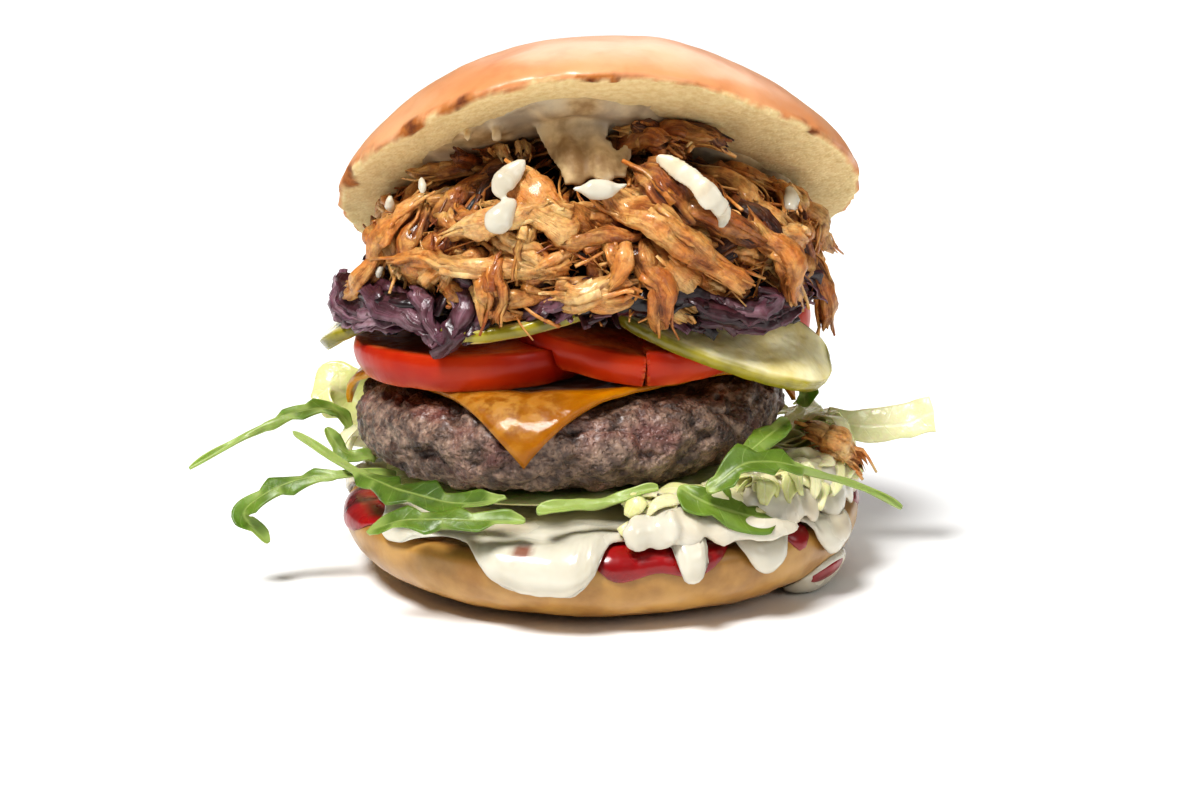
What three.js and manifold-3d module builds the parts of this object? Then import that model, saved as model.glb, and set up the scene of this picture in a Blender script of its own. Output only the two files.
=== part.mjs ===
// A tall hamburger: split bun, pulled pork, red cabbage, pickles, tomato, cheese, beef patty, salad, sauces.
// Millimetres, +Z up. The origin is the middle of the flat spot that the bottom bun rests on. -Y is the
// front.
import * as THREE from "three";
import { mergeVertices } from "three/addons/utils/BufferGeometryUtils.js";
import Module from "manifold-3d";

const wasm = await Module();
wasm.setup();
const degrees = THREE.MathUtils.degToRad;

// Driving dimensions
const GAP = 0.3; // clear space between pieces that touch
const BUN_RADIUS = 57.5;
const BUN_SIDES = 32;
const HEEL_HEIGHT = 17;
const HEEL_FOOT_RADIUS = 35;
const HEEL_LIP = 3.5; // rounding of the cut rim
const CROWN_HEIGHT = 26.8;
const CROWN_CENTRE = [-0.5, 4.8, 85.4];
const CROWN_TILT = degrees(28.5); // the front of the crown is propped up
const CROWN_ROLL = degrees(-2.5); // and its right side is a little higher
const CROWN_ARCH = { rise: 1.6, fall: 5.2, from: 10, to: 50 }; // its cut is arched from side to side
const KETCHUP_THICKNESS = 2;
const MAYO_THICKNESS = 2.2;
const PATTY_RADIUS = 48.5;
const PATTY_HEIGHT = 19.5;
const PATTY_CENTRE = [-6.3, -2, 26.8];
const PATTY_ROLL = degrees(-2.7);
const CRAG_DEPTH = 1.3;
const CHEESE_SIDE = 76;
const CHEESE_THICKNESS = 1.3;
const CHEESE_TURN = degrees(-10); // turn of the corner that hangs at the front
const TOMATO_RADIUS = 28;
const TOMATO_THICKNESS = 7.4;
const PICKLE_THICKNESS = 3.4;
const PICKLE_WIDTH = 23;
const LEAF_THICKNESS = 0.8;
const LETTUCE_THICKNESS = 1;
const CABBAGE_STRIP = { width: 6.5, thickness: 1.8, count: 20 };
const PORK_SHRED = { length: 24, width: 6.5, thickness: 5, around: 12, rows: 3 };

const CHEESE_CORNER_PULL = 0.015; // how far the melted corners draw back
const CHEESE_RIM_LIFT = 1.2; // how far it stands off the rounded rim of the patty
const CHEESE_SLIP = 1.4; // how far it has slid to its front corner, along each of the two sides there
const SMEAR_THICKNESS = 1.9;
const CABBAGE_TOP = 71;
const PORK_CENTRE = [-1, -6, 76];
const PORK_RADII = [46, 38, 20];
const BED_THICKNESS = 1.5;
const ROCKET_STEM = 2;
const SHIFTS = [[0, 0, -GAP], [0, 0, GAP], [GAP, 0, 0], [-GAP, 0, 0], [0, GAP, 0], [0, -GAP, 0]];

// Finishes
const finish = (color, roughness) => new THREE.MeshStandardMaterial({ color, roughness, metalness: 0 });
const FINISHES = {
  crust: finish(0xdb9a66, 0.4),
  ketchup: finish(0xa00a14, 0.15),
  mayo: finish(0xefecdc, 0.25),
  lettuce: finish(0xdfe6b0, 0.4),
  rocket: finish(0x7da23c, 0.45),
  beef: finish(0x6a524b, 0.5),
  cheese: finish(0xd08a1c, 0.25),
  tomato: finish(0xc6402a, 0.2),
  pickle: finish(0xa9a440, 0.25),
  cabbage: finish(0x4a3044, 0.25),
  pork: finish(0xb87a44, 0.4),
};

// Numbers from 0 to 1 that look random and are the same every time
function chance(index, kind) {
  const wave = Math.sin(index * 12.9898 + kind * 78.233) * 43758.5453;
  return wave - Math.floor(wave);
}
const between = (low, high, index, kind) => low + (high - low) * chance(index, kind);

// Solids

// The closed solid of a geometry whose triangles share their corners, facing out.
function solidOf(geometry) {
  const bare = new THREE.BufferGeometry();
  bare.setAttribute("position", geometry.getAttribute("position"));
  bare.setIndex(geometry.index);
  const merged = mergeVertices(bare, 1e-3);
  const corners = Array.from(merged.index.array);
  const forward = [];
  const backward = [];
  for (let i = 0; i < corners.length; i += 3) {
    const [a, b, c] = corners.slice(i, i + 3);
    if (a === b || b === c || c === a) continue;
    forward.push(a, b, c);
    backward.push(a, c, b);
  }
  const build = (triangles) =>
    new wasm.Manifold(
      new wasm.Mesh({
        numProp: 3,
        vertProperties: merged.getAttribute("position").array,
        triVerts: new Uint32Array(triangles),
      }),
    );
  const solid = build(forward);
  return solid.volume() < 0 ? build(backward) : solid;
}

function geometryOf(solid) {
  const mesh = solid.getMesh();
  const geometry = new THREE.BufferGeometry();
  geometry.setAttribute("position", new THREE.BufferAttribute(new Float32Array(mesh.vertProperties), 3));
  geometry.setIndex(new THREE.BufferAttribute(new Uint32Array(mesh.triVerts), 1));
  geometry.computeVertexNormals();
  return geometry;
}

const largestBody = (solid) => solid.decompose().sort((a, b) => b.volume() - a.volume())[0];

// Moves each corner of a geometry by a rule.
function reshaped(geometry, rule) {
  const spots = geometry.getAttribute("position");
  const spot = new THREE.Vector3();
  for (let i = 0; i < spots.count; i++) {
    const moved = rule(spot.fromBufferAttribute(spots, i));
    spots.setXYZ(i, moved.x, moved.y, moved.z);
  }
  return geometry;
}

// A shape turned about Z from a section whose x is the radius and whose y is the height.
const turned = (section, around, divisions) =>
  new THREE.LatheGeometry(section.getPoints(divisions), around).rotateX(Math.PI / 2);

// A layer that lies on a turned shape and may hang over its rim. Its rings are at fixed runs along the
// section, so that they follow its bend, and stop at reach(angle). lift(angle, run) is the clear height of
// its lower face.
function layerOn(section, { runs, reach, lift, thickness, around }) {
  const length = section.getLength();
  const last = runs.length - 1;
  const ball = new THREE.SphereGeometry(1, around, 2 * last).rotateX(Math.PI / 2);
  return reshaped(ball, (p) => {
    const angle = Math.atan2(p.y, p.x);
    const ring = Math.round((2 / Math.PI) * Math.acos(Math.min(1, Math.abs(p.z))) * last);
    const end = reach(angle);
    const run = ring === last ? end : Math.min(runs[ring], end);
    const spot = section.getPointAt(run / length);
    const along = section.getTangentAt(run / length);
    const height = lift(angle, run) + (p.z > 1e-6 ? thickness * bead(run / end) : 0);
    const radius = spot.x - along.y * height;
    return new THREE.Vector3(radius * Math.cos(angle), radius * Math.sin(angle), spot.y + along.x * height);
  });
}

// How the depth of a poured layer falls off to its rounded edge.
const bead = (share) => Math.sqrt(1 - Math.min(1, share) ** 10);

// A thin sheet of nx by ny cells given by shape(u, v, side), where side is 1 on the upper face and -1 on the
// lower. Both faces have the same triangles, and a strip closes the edge.
function sheet(nx, ny, shape) {
  const spots = [];
  const triangles = [];
  const faceSize = (nx + 1) * (ny + 1);
  const corner = (side, i, j) => (side > 0 ? 0 : faceSize) + j * (nx + 1) + i;
  for (const side of [1, -1])
    for (let j = 0; j <= ny; j++)
      for (let i = 0; i <= nx; i++) spots.push(...shape(i / nx, j / ny, side).toArray());
  const quad = (a, b, c, d) => triangles.push(a, b, c, a, c, d);
  const SQUARE = [[0, 0], [1, 0], [1, 1], [0, 1]];
  const cell = (side, i, j) => SQUARE.map(([p, q]) => corner(side, i + p, j + q));
  for (let j = 0; j < ny; j++)
    for (let i = 0; i < nx; i++) {
      quad(...cell(1, i, j));
      const [a, b, c, d] = cell(-1, i, j);
      triangles.push(a, c, b, a, d, c);
    }
  const edge = [];
  for (let i = 0; i < nx; i++) edge.push([i, 0]);
  for (let j = 0; j < ny; j++) edge.push([nx, j]);
  for (let i = nx; i > 0; i--) edge.push([i, ny]);
  for (let j = ny; j > 0; j--) edge.push([0, j]);
  edge.forEach(([i, j], k) => {
    const [p, q] = edge[(k + 1) % edge.length];
    quad(corner(1, i, j), corner(-1, i, j), corner(-1, p, q), corner(1, p, q));
  });
  const geometry = new THREE.BufferGeometry();
  geometry.setAttribute("position", new THREE.Float32BufferAttribute(spots, 3));
  geometry.setIndex(triangles);
  return geometry;
}

const curveThrough = (points) => new THREE.CatmullRomCurve3(points.map((p) => new THREE.Vector3(...p)));

// Where a point lies that is out to the side of a curve and above it, seen from the facing direction.
function besideCurve(curve, u, facing, out, above) {
  const along = curve.getTangentAt(u);
  const side = new THREE.Vector3().crossVectors(facing, along).normalize();
  const up = new THREE.Vector3().crossVectors(along, side);
  return curve.getPointAt(u).addScaledVector(side, out).addScaledVector(up, above);
}

// A flat piece along a curve: leaves, slices and strips. It faces one way, or turns to another towards its
// end. wave(u, v) lifts it off the flat.
function ribbon({ points, width, thickness, facing, endFacing = facing, cells, wave = () => 0 }) {
  const curve = curveThrough(points);
  const start = new THREE.Vector3(...facing);
  const end = new THREE.Vector3(...endFacing);
  return sheet(cells[0], cells[1], (u, v, side) => {
    const front = start.clone().lerp(end, u).normalize();
    return besideCurve(curve, u, front, (v - 0.5) * width(u), wave(u, v) + (side * thickness) / 2);
  });
}

// A spindle along a curve, blunt or pointed: shreds of meat and drops of sauce.
function spindle({ points, width, thickness, facing, sides = 5, steps = 4 }) {
  const curve = curveThrough(points);
  const front = new THREE.Vector3(...facing).normalize();
  const ball = new THREE.SphereGeometry(1, sides, steps).rotateZ(-Math.PI / 2);
  return reshaped(ball, (p) => {
    const u = THREE.MathUtils.clamp((p.x + 1) / 2, 0, 1);
    return besideCurve(curve, u, front, (p.y * width) / 2, (p.z * thickness) / 2);
  });
}

// The burger as it is stacked

const burger = new THREE.Group();
const stacked = []; // every placed solid, in the burger's frame

function clashes(solid) {
  const box = solid.boundingBox();
  return stacked.some((other) => {
    const around = other.boundingBox();
    const apart = [0, 1, 2].some((k) => box.min[k] > around.max[k] || around.min[k] > box.max[k]);
    return !apart && solid.intersect(other).volume() > 1e-3;
  });
}
const clearAllRound = (solid) => SHIFTS.every((shift) => !clashes(solid.translate(shift)));

// Fuses a heap: pieces laid over a smaller core. A piece that would cut another layer is left out.
function heaped(core, pieces) {
  return largestBody(wasm.Manifold.union([core, ...pieces.filter(clearAllRound)]));
}

// What is left of a solid once the placed pieces that it meets are cut away with a little room.
function carved(solid) {
  const cutBy = (left, other) => SHIFTS.reduce((rest, shift) => rest.subtract(other.translate(shift)), left);
  return largestBody(
    stacked.reduce((left, other) => (left.intersect(other).isEmpty() ? left : cutBy(left, other)), solid),
  );
}

function worldSolid(object, solid) {
  object.updateWorldMatrix(true, false);
  return solid.transform(object.matrixWorld.elements);
}

function place(name, solid, material, parent = burger) {
  const mesh = new THREE.Mesh(geometryOf(solid), material);
  mesh.name = name;
  parent.add(mesh);
  stacked.push(worldSolid(mesh, solid));
  return mesh;
}

// Sets a piece in place: from its first position it is moved the given way in small steps until it is clear.
function placeClear(name, solid, material, { away = [0, 0, 1], position = [0, 0, 0], rotation = [0, 0, 0] }) {
  const step = new THREE.Vector3(...away).setLength(0.25);
  const carrier = new THREE.Group();
  carrier.position.set(...position);
  carrier.rotation.set(...rotation.map(degrees));
  while (!clearAllRound(worldSolid(carrier, solid))) carrier.position.add(step);
  burger.add(carrier);
  return place(name, solid, material, carrier);
}

// Bottom bun

const unround = (angle) => 1 + 0.008 * Math.sin(2 * angle + 0.6) + 0.006 * Math.sin(3 * angle + 2.1);
const lessRound = (geometry) =>
  reshaped(geometry, (p) => {
    const scale = unround(Math.atan2(p.y, p.x));
    return new THREE.Vector3(p.x * scale, p.y * scale, p.z);
  });

const HEEL_FLAT = BUN_RADIUS - HEEL_LIP;
const heelSection = new THREE.Path();
heelSection.moveTo(0, HEEL_HEIGHT);
heelSection.lineTo(HEEL_FLAT, HEEL_HEIGHT);
heelSection.quadraticCurveTo(BUN_RADIUS, HEEL_HEIGHT, BUN_RADIUS, HEEL_HEIGHT - HEEL_LIP);
heelSection.bezierCurveTo(BUN_RADIUS, 5.5, 0.84 * BUN_RADIUS, 0, HEEL_FOOT_RADIUS, 0);
heelSection.lineTo(0, 0);
place("bun_bottom", solidOf(lessRound(turned(heelSection, BUN_SIDES, 4))), FINISHES.crust);

// Ketchup and mayonnaise on the bottom bun. A drip is a hump in the reach: [angle in degrees from the front
// to the right, spread in degrees, extra reach].

const fromFront = (angle) => THREE.MathUtils.euclideanModulo(angle + 1.5 * Math.PI, 2 * Math.PI) - Math.PI;
function humps(angle, list) {
  const turn = THREE.MathUtils.radToDeg(fromFront(angle));
  return list.reduce((sum, [at, spread, drop]) => sum + drop * Math.exp(-(((turn - at) / spread) ** 2)), 0);
}
const KETCHUP_REACH = 49;
const KETCHUP_DRIPS = [
  [-72, 20, 11], [3, 9, 10.5], [21, 11, 11.5], [48, 6, 10], [88, 13, 10.5], [143, 17, 10], [-140, 18, 11],
];
const MAYO_REACH = 52;
const MAYO_DRIPS = [
  [-48, 10, 5], [-24, 9, 11], [-8, 9, 10.5], [19, 4, 9], [37, 7, 10],
  [60, 9, 9.5], [115, 12, 8], [172, 11, 10], [-106, 13, 9],
];
const ketchupReach = (angle) => KETCHUP_REACH + humps(angle, KETCHUP_DRIPS);
const mayoReach = (angle) => MAYO_REACH + humps(angle, MAYO_DRIPS);
const ketchup = layerOn(heelSection, {
  runs: [0, 48, HEEL_FLAT, 56, 58.5, 62],
  reach: ketchupReach,
  lift: () => 2 * GAP,
  thickness: KETCHUP_THICKNESS,
  around: BUN_SIDES,
});
place("ketchup", carved(solidOf(lessRound(ketchup))), FINISHES.ketchup);

// The mayonnaise lies over the ketchup, and on the bun where there is none.
function mayoLift(angle, run) {
  const overKetchup = KETCHUP_THICKNESS * bead(run / (ketchupReach(angle) + 2.5));
  const roundTheRim = THREE.MathUtils.smoothstep(run, HEEL_FLAT - 5, HEEL_FLAT - 1);
  return 2 * GAP + overKetchup + roundTheRim;
}
const mayo = layerOn(heelSection, {
  runs: [0, 48, HEEL_FLAT, 56, 58, 60.5, 63.5, 66],
  reach: mayoReach,
  lift: mayoLift,
  thickness: MAYO_THICKNESS,
  around: 44,
});
place("mayo_bottom", carved(solidOf(lessRound(mayo))), FINISHES.mayo);

// Beef patty, and the cheese that lies on it with its corners hanging down

const pattyGroup = new THREE.Group();
pattyGroup.position.set(...PATTY_CENTRE);
pattyGroup.rotation.set(0, PATTY_ROLL, 0);
burger.add(pattyGroup);

const PATTY_WAIST = 0.52 * PATTY_HEIGHT; // height of the widest part
const pattySection = new THREE.Path();
pattySection.moveTo(0, PATTY_HEIGHT);
pattySection.lineTo(PATTY_RADIUS - 10, PATTY_HEIGHT);
pattySection.bezierCurveTo(
  PATTY_RADIUS - 2, PATTY_HEIGHT, PATTY_RADIUS, 0.7 * PATTY_HEIGHT, PATTY_RADIUS, PATTY_WAIST,
);
pattySection.bezierCurveTo(PATTY_RADIUS, 0.25 * PATTY_HEIGHT, PATTY_RADIUS - 5, 0, PATTY_RADIUS - 12, 0);
pattySection.lineTo(0, 0);
const cragged = reshaped(turned(pattySection, 42, 4), (p) => {
  const angle = Math.atan2(p.y, p.x);
  const lumps = 0.5 + 0.25 * Math.sin(9 * angle + 0.5 * p.z) + 0.25 * Math.sin(23 * angle - 0.9 * p.z);
  const shrink = 1 - (CRAG_DEPTH * lumps) / PATTY_RADIUS;
  return new THREE.Vector3(p.x * shrink, p.y * shrink, p.z);
});
place("patty", solidOf(cragged), FINISHES.beef, pattyGroup);

const pattyLength = pattySection.getLength();
const cheese = sheet(12, 12, (u, v, side) => {
  const [across, along] = [2 * u - 1, 2 * v - 1];
  const meltedCorner = 1 - CHEESE_CORNER_PULL * (across * along) ** 2;
  const flat = new THREE.Vector2(across, along).multiplyScalar((CHEESE_SIDE / 2) * meltedCorner);
  flat.subScalar(CHEESE_SLIP);
  flat.rotateAround(new THREE.Vector2(), degrees(45) + CHEESE_TURN);
  const run = flat.length();
  const spot = pattySection.getPointAt(run / pattyLength);
  const slope = pattySection.getTangentAt(run / pattyLength);
  const overRim = CHEESE_RIM_LIFT * THREE.MathUtils.smoothstep(run, PATTY_RADIUS - 18, PATTY_RADIUS - 6);
  const height = GAP + overRim + (side > 0 ? CHEESE_THICKNESS : 0);
  const radius = spot.x - slope.y * height;
  const angle = flat.angle();
  return new THREE.Vector3(radius * Math.cos(angle), radius * Math.sin(angle), spot.y + slope.x * height);
});
place("cheese", carved(solidOf(cheese).transform(pattyGroup.matrixWorld.elements)), FINISHES.cheese);

// Tomato: a large slice, one that has split in two halves, a smaller one and the end of the tomato

const tomatoSection = new THREE.Path();
tomatoSection.moveTo(0, 0);
tomatoSection.lineTo(TOMATO_RADIUS - 2, 0);
tomatoSection.quadraticCurveTo(
  TOMATO_RADIUS + 0.8, 0.55 * TOMATO_THICKNESS, TOMATO_RADIUS - 1, TOMATO_THICKNESS,
);
tomatoSection.lineTo(0, TOMATO_THICKNESS);
const tomatoSlice = solidOf(turned(tomatoSection, 22, 3));
const TOMATO_TAPER = 0.55; // how much thinner the right half is at its far end
const taperedSlice = solidOf(
  reshaped(turned(tomatoSection, 22, 3), (p) =>
    new THREE.Vector3(p.x, p.y, p.z * (1 - (TOMATO_TAPER * Math.max(0, p.x)) / TOMATO_RADIUS)),
  ),
);
const rightOfSplit = solidOf(new THREE.BoxGeometry(100, 100, 40).translate(50, 0, 0));
const leftHalf = tomatoSlice.scale([1, 1, 0.85]).subtract(rightOfSplit);
const rightHalf = taperedSlice.intersect(rightOfSplit).scale([0.85, 1, 1]);
const smallSlice = tomatoSlice.scale([0.7, 0.7, 0.95]);
const endSlice = tomatoSlice.scale([0.36, 0.36, 0.9]);
const TOMATOES = [
  { name: "tomato_left", solid: tomatoSlice, position: [-26, -12, 46], rotation: [1.5, -2, 0] },
  { name: "tomato_right", solid: rightHalf, position: [8.6, -14, 45], rotation: [2, -2.5, 4] },
  { name: "tomato_back", solid: smallSlice, position: [20, 33.5, 45], rotation: [0, -2.7, 0] },
  { name: "tomato_bit", solid: endSlice, position: [38, 7, 45], rotation: [0, -2.7, 0] },
];
const [leftSlice] = TOMATOES.map(({ name, solid, position, rotation }) =>
  placeClear(name, solid, FINISHES.tomato, { position, rotation }),
);

// The left half leans on the left slice, which has dented it.
const leaning = new THREE.Group();
leaning.position.set(7, -14.3, 49.5);
leaning.rotation.set(...[2, 8, 4].map(degrees));
const dent = worldSolid(leftSlice, tomatoSlice.scale([1.1, 1.1, 1.06]));
const dented = worldSolid(leaning, leftHalf).subtract(dent);
placeClear("tomato_middle", largestBody(dented), FINISHES.tomato, {});

// Pickles: three long slices, two of them as a tent. twist is how far the right end turns to the front.

const ovalWidth = (u) => PICKLE_WIDTH * Math.max(0.12, (1 - Math.abs(2 * u - 1) ** 3.2) ** 0.5);
const PICKLES = [
  {
    name: "pickle_left",
    points: [[-61, -7, 50.5], [-55.5, -7, 55], [-45, -6, 58.8], [-26, -5, 59]],
    twist: 0,
  },
  {
    name: "pickle_centre",
    points: [[-34, -33, 57.5], [-23, -34, 58.5], [-10, -33, 61.5], [1, -30, 64.5]],
    twist: 0,
  },
  {
    name: "pickle_right",
    points: [[2.5, -29, 64.5], [17, -31.5, 61.5], [34, -30, 57], [49, -22, 51]],
    twist: 1,
  },
];
for (const { name, points, twist } of PICKLES) {
  const slice = ribbon({
    points,
    width: ovalWidth,
    thickness: PICKLE_THICKNESS,
    facing: [0, 0, 1],
    endFacing: [0, -twist, 1],
    cells: [9, 3],
  });
  placeClear(name, solidOf(slice), FINISHES.pickle, {});
}

// Top bun, propped open at the front, with mayonnaise smeared on its cut face and hanging from it

const crownGroup = new THREE.Group();
crownGroup.position.set(...CROWN_CENTRE);
crownGroup.rotation.set(-CROWN_TILT, CROWN_ROLL, 0);
burger.add(crownGroup);

const crownSection = new THREE.Path();
crownSection.moveTo(0, 0);
for (const share of [0.35, 0.7, 0.98]) crownSection.lineTo(share * BUN_RADIUS, 0);
crownSection.quadraticCurveTo(BUN_RADIUS, 0.2, BUN_RADIUS - 0.2, 1.5);
crownSection.bezierCurveTo(BUN_RADIUS - 2.5, 8, 0.66 * BUN_RADIUS, CROWN_HEIGHT, 0, CROWN_HEIGHT);
const archAt = (x) =>
  CROWN_ARCH.rise - CROWN_ARCH.fall * THREE.MathUtils.smoothstep(Math.abs(x), CROWN_ARCH.from, CROWN_ARCH.to);
const crown = solidOf(
  reshaped(lessRound(turned(crownSection, BUN_SIDES, 7)), (p) => {
    const hang = 1 - p.z / CROWN_HEIGHT;
    return new THREE.Vector3(p.x, p.y, p.z + hang * archAt(p.x));
  }),
);
place("bun_top", crown, FINISHES.crust, crownGroup);

const smearReach = (angle) => 43 + 2.2 * Math.sin(3 * angle + 1) + 1.4 * Math.sin(7 * angle);
const smear = reshaped(new THREE.SphereGeometry(1, BUN_SIDES, 6).rotateX(Math.PI / 2), (p) => {
  const reach = smearReach(Math.atan2(p.y, p.x));
  const depth = SMEAR_THICKNESS * Math.max(0, -p.z) ** 0.4;
  return new THREE.Vector3(p.x * reach, p.y * reach, archAt(p.x * reach) - 3 * GAP - depth);
});
const CURTAIN = [[-21, 5, 4], [-3, 15, 11], [6, 9, 8], [-11, 10, 5]]; // where it hangs, how far, how wide
const strings = CURTAIN.map(([x, fall, width]) =>
  solidOf(
    spindle({
      points: [[x, -37, archAt(x) - 1.5], [x - 1, -39, -0.55 * fall], [x - 2, -38, -fall]],
      width,
      thickness: 2.4,
      facing: [0, -1, 0],
    }),
  ),
);
const smeared = largestBody(wasm.Manifold.union([solidOf(smear), ...strings]));
place("mayo_top", smeared, FINISHES.mayo, crownGroup);

// The room above the smeared face, which the heaps below stay out of
const overSmear = worldSolid(crownGroup, crown.translate([0, 0, -SMEAR_THICKNESS - 6 * GAP]));

// Heaps

const blob = (centre, radii, around, rings) => {
  const ball = new THREE.SphereGeometry(1, around, rings).rotateX(Math.PI / 2);
  return solidOf(ball.scale(...radii).translate(...centre));
};
const ringPoint = (centre, radii, angle, z) => [
  centre[0] + radii[0] * Math.cos(angle),
  centre[1] + radii[1] * Math.sin(angle),
  z,
];
const outward = (angle, up) => [Math.cos(angle), Math.sin(angle), up];

// Red cabbage: a core that fills the room above the tomato, with strips that hang out of it

const CABBAGE_LUMPS = [
  [[0, -4, 69], [41, 35, 2]],
  [[2, 21, 65.5], [40, 20, 5]],
  [[-36, -14, 66], [18, 23, 4.5]],
  [[36, -4, 67], [14, 20, 3.5]],
];
const cabbageCore = wasm.Manifold.union(
  CABBAGE_LUMPS.map(([centre, radii]) => blob(centre, radii, 12, 6)),
).subtract(overSmear);
const cabbageStrips = [];
for (let i = 0; i < CABBAGE_STRIP.count; i++) {
  const angle = (2 * Math.PI * (i + between(-0.3, 0.3, i, 1))) / CABBAGE_STRIP.count;
  const lean = between(-0.14, 0.14, i, 2);
  const fall = between(4, 14, i, 3);
  const start = CABBAGE_TOP - between(1, 3, i, 4);
  const centre = [0, -2];
  const strip = ribbon({
    points: [
      ringPoint(centre, [36, 31], angle - lean, start),
      ringPoint(centre, [45, 40], angle, start - 0.25 * fall),
      ringPoint(centre, [51, 45], angle + lean, start - fall),
    ],
    width: (u) => CABBAGE_STRIP.width * between(0.7, 1.2, i, 5) * (1 - 0.35 * u),
    thickness: CABBAGE_STRIP.thickness,
    facing: outward(angle, 0.7),
    cells: [4, 1],
  });
  cabbageStrips.push(solidOf(strip));
}
place("cabbage", heaped(carved(cabbageCore), cabbageStrips), FINISHES.cabbage);

// Pulled pork: shreds laid over a domed core, some hanging over the cabbage, with drops of mayonnaise

const underPork = solidOf(new THREE.BoxGeometry(200, 200, 100).translate(0, 0, CABBAGE_TOP + 3 * GAP - 50));
const porkCore = blob(PORK_CENTRE, PORK_RADII, 20, 10).subtract(overSmear).subtract(underPork);

// A point on the heap at an angle and a height. Below the widest part the heap hangs straight down.
function porkPoint(angle, z, out) {
  const rise = Math.max(0, (z - PORK_CENTRE[2]) / PORK_RADII[2]);
  const share = Math.sqrt(Math.max(0, 1 - rise * rise));
  return ringPoint(PORK_CENTRE, [PORK_RADII[0] * share + out, PORK_RADII[1] * share + out], angle, z);
}

// The height of the cut face of the top bun over the edge of the heap.
function roofOver(angle) {
  const y = PORK_CENTRE[1] + 0.9 * PORK_RADII[1] * Math.sin(angle);
  return CROWN_CENTRE[2] - Math.tan(CROWN_TILT) * (y - CROWN_CENTRE[1]);
}

const porkShreds = [];
const PORK_LOW = 68; // the heights that the rows of shreds lie between
const PORK_HIGH = 91;
for (let row = 0; row < PORK_SHRED.rows; row++)
  for (let column = 0; column < PORK_SHRED.around; column++) {
    const i = row * PORK_SHRED.around + column;
    const turn = column + 0.5 * (row % 2) + between(-0.25, 0.25, i, 11);
    const angle = (2 * Math.PI * turn) / PORK_SHRED.around;
    const top = Math.min(PORK_HIGH, roofOver(angle) - 6);
    const z = PORK_LOW + ((top - PORK_LOW) * (row + 0.3)) / PORK_SHRED.rows;
    const steep = between(-0.3, 1.2, i, 12);
    const half = (PORK_SHRED.length / 2) * between(0.7, 1.2, i, 13);
    const sweep = ((half * Math.cos(steep)) / PORK_RADII[0]) * (chance(i, 14) < 0.5 ? -1 : 1);
    const drop = half * Math.sin(steep) * 0.7;
    const shred = spindle({
      points: [
        porkPoint(angle - sweep, z + drop, -0.5),
        porkPoint(angle, z, between(0.8, 2.4, i, 15)),
        porkPoint(angle + sweep, z - drop, between(0.2, 3, i, 16)),
      ],
      width: PORK_SHRED.width * between(0.8, 1.3, i, 17),
      thickness: PORK_SHRED.thickness,
      facing: outward(angle, 0.4),
    });
    porkShreds.push(solidOf(shred));
  }

// The largest shreds, at the front: both ends, the width, and how far the middle stands out
const LARGE_SHREDS = [
  [[0, -42, 92], [28, -42, 72], 7, 5],
  [[8, -38, 95], [20, -43, 85], 9, 2],
  [[9, -44, 81], [13.5, -47, 64.5], 6, 2],
  [[-18, -39, 93], [-2, -45, 82], 9, 3],
  [[-42, -31, 75], [-7, -46, 75], 5, 5],
  [[-19, -43, 79], [-20.5, -47, 64], 5.5, 2],
  [[-36, -29, 88], [-48, -24, 73], 7, 3],
  [[31, -37, 84], [41, -32, 66], 6.5, 3],
  [[42, -20, 77], [50, -11, 57], 6, 3],
  [[-46, -26, 74], [-54, -18, 66], 6, 1],
  [[-30, -38, 82], [-12, -45, 88], 5, 2],
  [[14, -42, 88], [34, -37, 80], 6, 3],
];
for (const [start, end, width, bulge] of LARGE_SHREDS) {
  const middle = new THREE.Vector3(...start).lerp(new THREE.Vector3(...end), 0.5);
  const facing = new THREE.Vector3(middle.x - PORK_CENTRE[0], middle.y - PORK_CENTRE[1], 0).normalize();
  const points = [start, middle.addScaledVector(facing, bulge).toArray(), end];
  const shred = spindle({ points, width, thickness: 5, facing: facing.toArray() });
  porkShreds.push(solidOf(shred));
}

// Drops of mayonnaise on the shreds: the place, the half width and the half height
const PORK_DROPS = [
  [[-20.6, -42, 86], 4, 4.5],
  [[-20, -37, 93], 3.4, 5],
  [[-0.6, -41, 91.5], 4.5, 2.4],
  [[21.4, -36, 91], 4.5, 5.5],
  [[40.4, -17, 86], 2.4, 3.2],
];
const porkDrops = PORK_DROPS.map(([spot, wide, high]) => blob(spot, [wide, 4, high], 8, 6));
place("pork", heaped(porkCore, [...porkShreds, ...porkDrops]), FINISHES.pork);

// Lettuce: a bed under the patty with strips that hang out of it, and two strips that stick out

const wavy = (height, waves, start) => (u, v) =>
  height * Math.sin(2 * Math.PI * waves * u + start) * (v - 0.3);
const bedDisc = new THREE.CylinderGeometry(43, 43, BED_THICKNESS, 28).rotateX(Math.PI / 2);
const lettuceCore = worldSolid(pattyGroup, solidOf(bedDisc.translate(0, 0, -2 * GAP - BED_THICKNESS / 2)));
const LETTUCE_TURNS = [13, 27, 41, 55, 69, 83, 98, 130, 162, 195, 228, 260]; // degrees from front to right
const lettuceStrips = LETTUCE_TURNS.map((turn, i) => {
  const angle = degrees(turn + between(-4, 4, i, 21) - 90);
  const lean = between(-0.12, 0.12, i, 22);
  const rise = between(0, 7, i, 23);
  const slant = Math.cos(angle); // the patty is higher at the right
  const strip = ribbon({
    points: [
      ringPoint([-4, -2], [39, 39], angle - lean, 25.3 + 2.3 * slant),
      ringPoint([-2, -1], [50, 50], angle, 25.2 + 1.6 * slant + 0.3 * rise),
      ringPoint([0, 0], [57, 57], angle + lean, 25.5 + rise),
      ringPoint([0, 0], [62, 62], angle + 2 * lean, 22.5 + 0.6 * rise),
    ],
    width: () => between(7, 11, i, 24),
    thickness: LETTUCE_THICKNESS,
    facing: outward(angle, 3),
    cells: [4, 2],
    wave: wavy(between(1.5, 3, i, 25), 1.2, 6 * chance(i, 26)),
  });
  return solidOf(strip);
});
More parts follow.
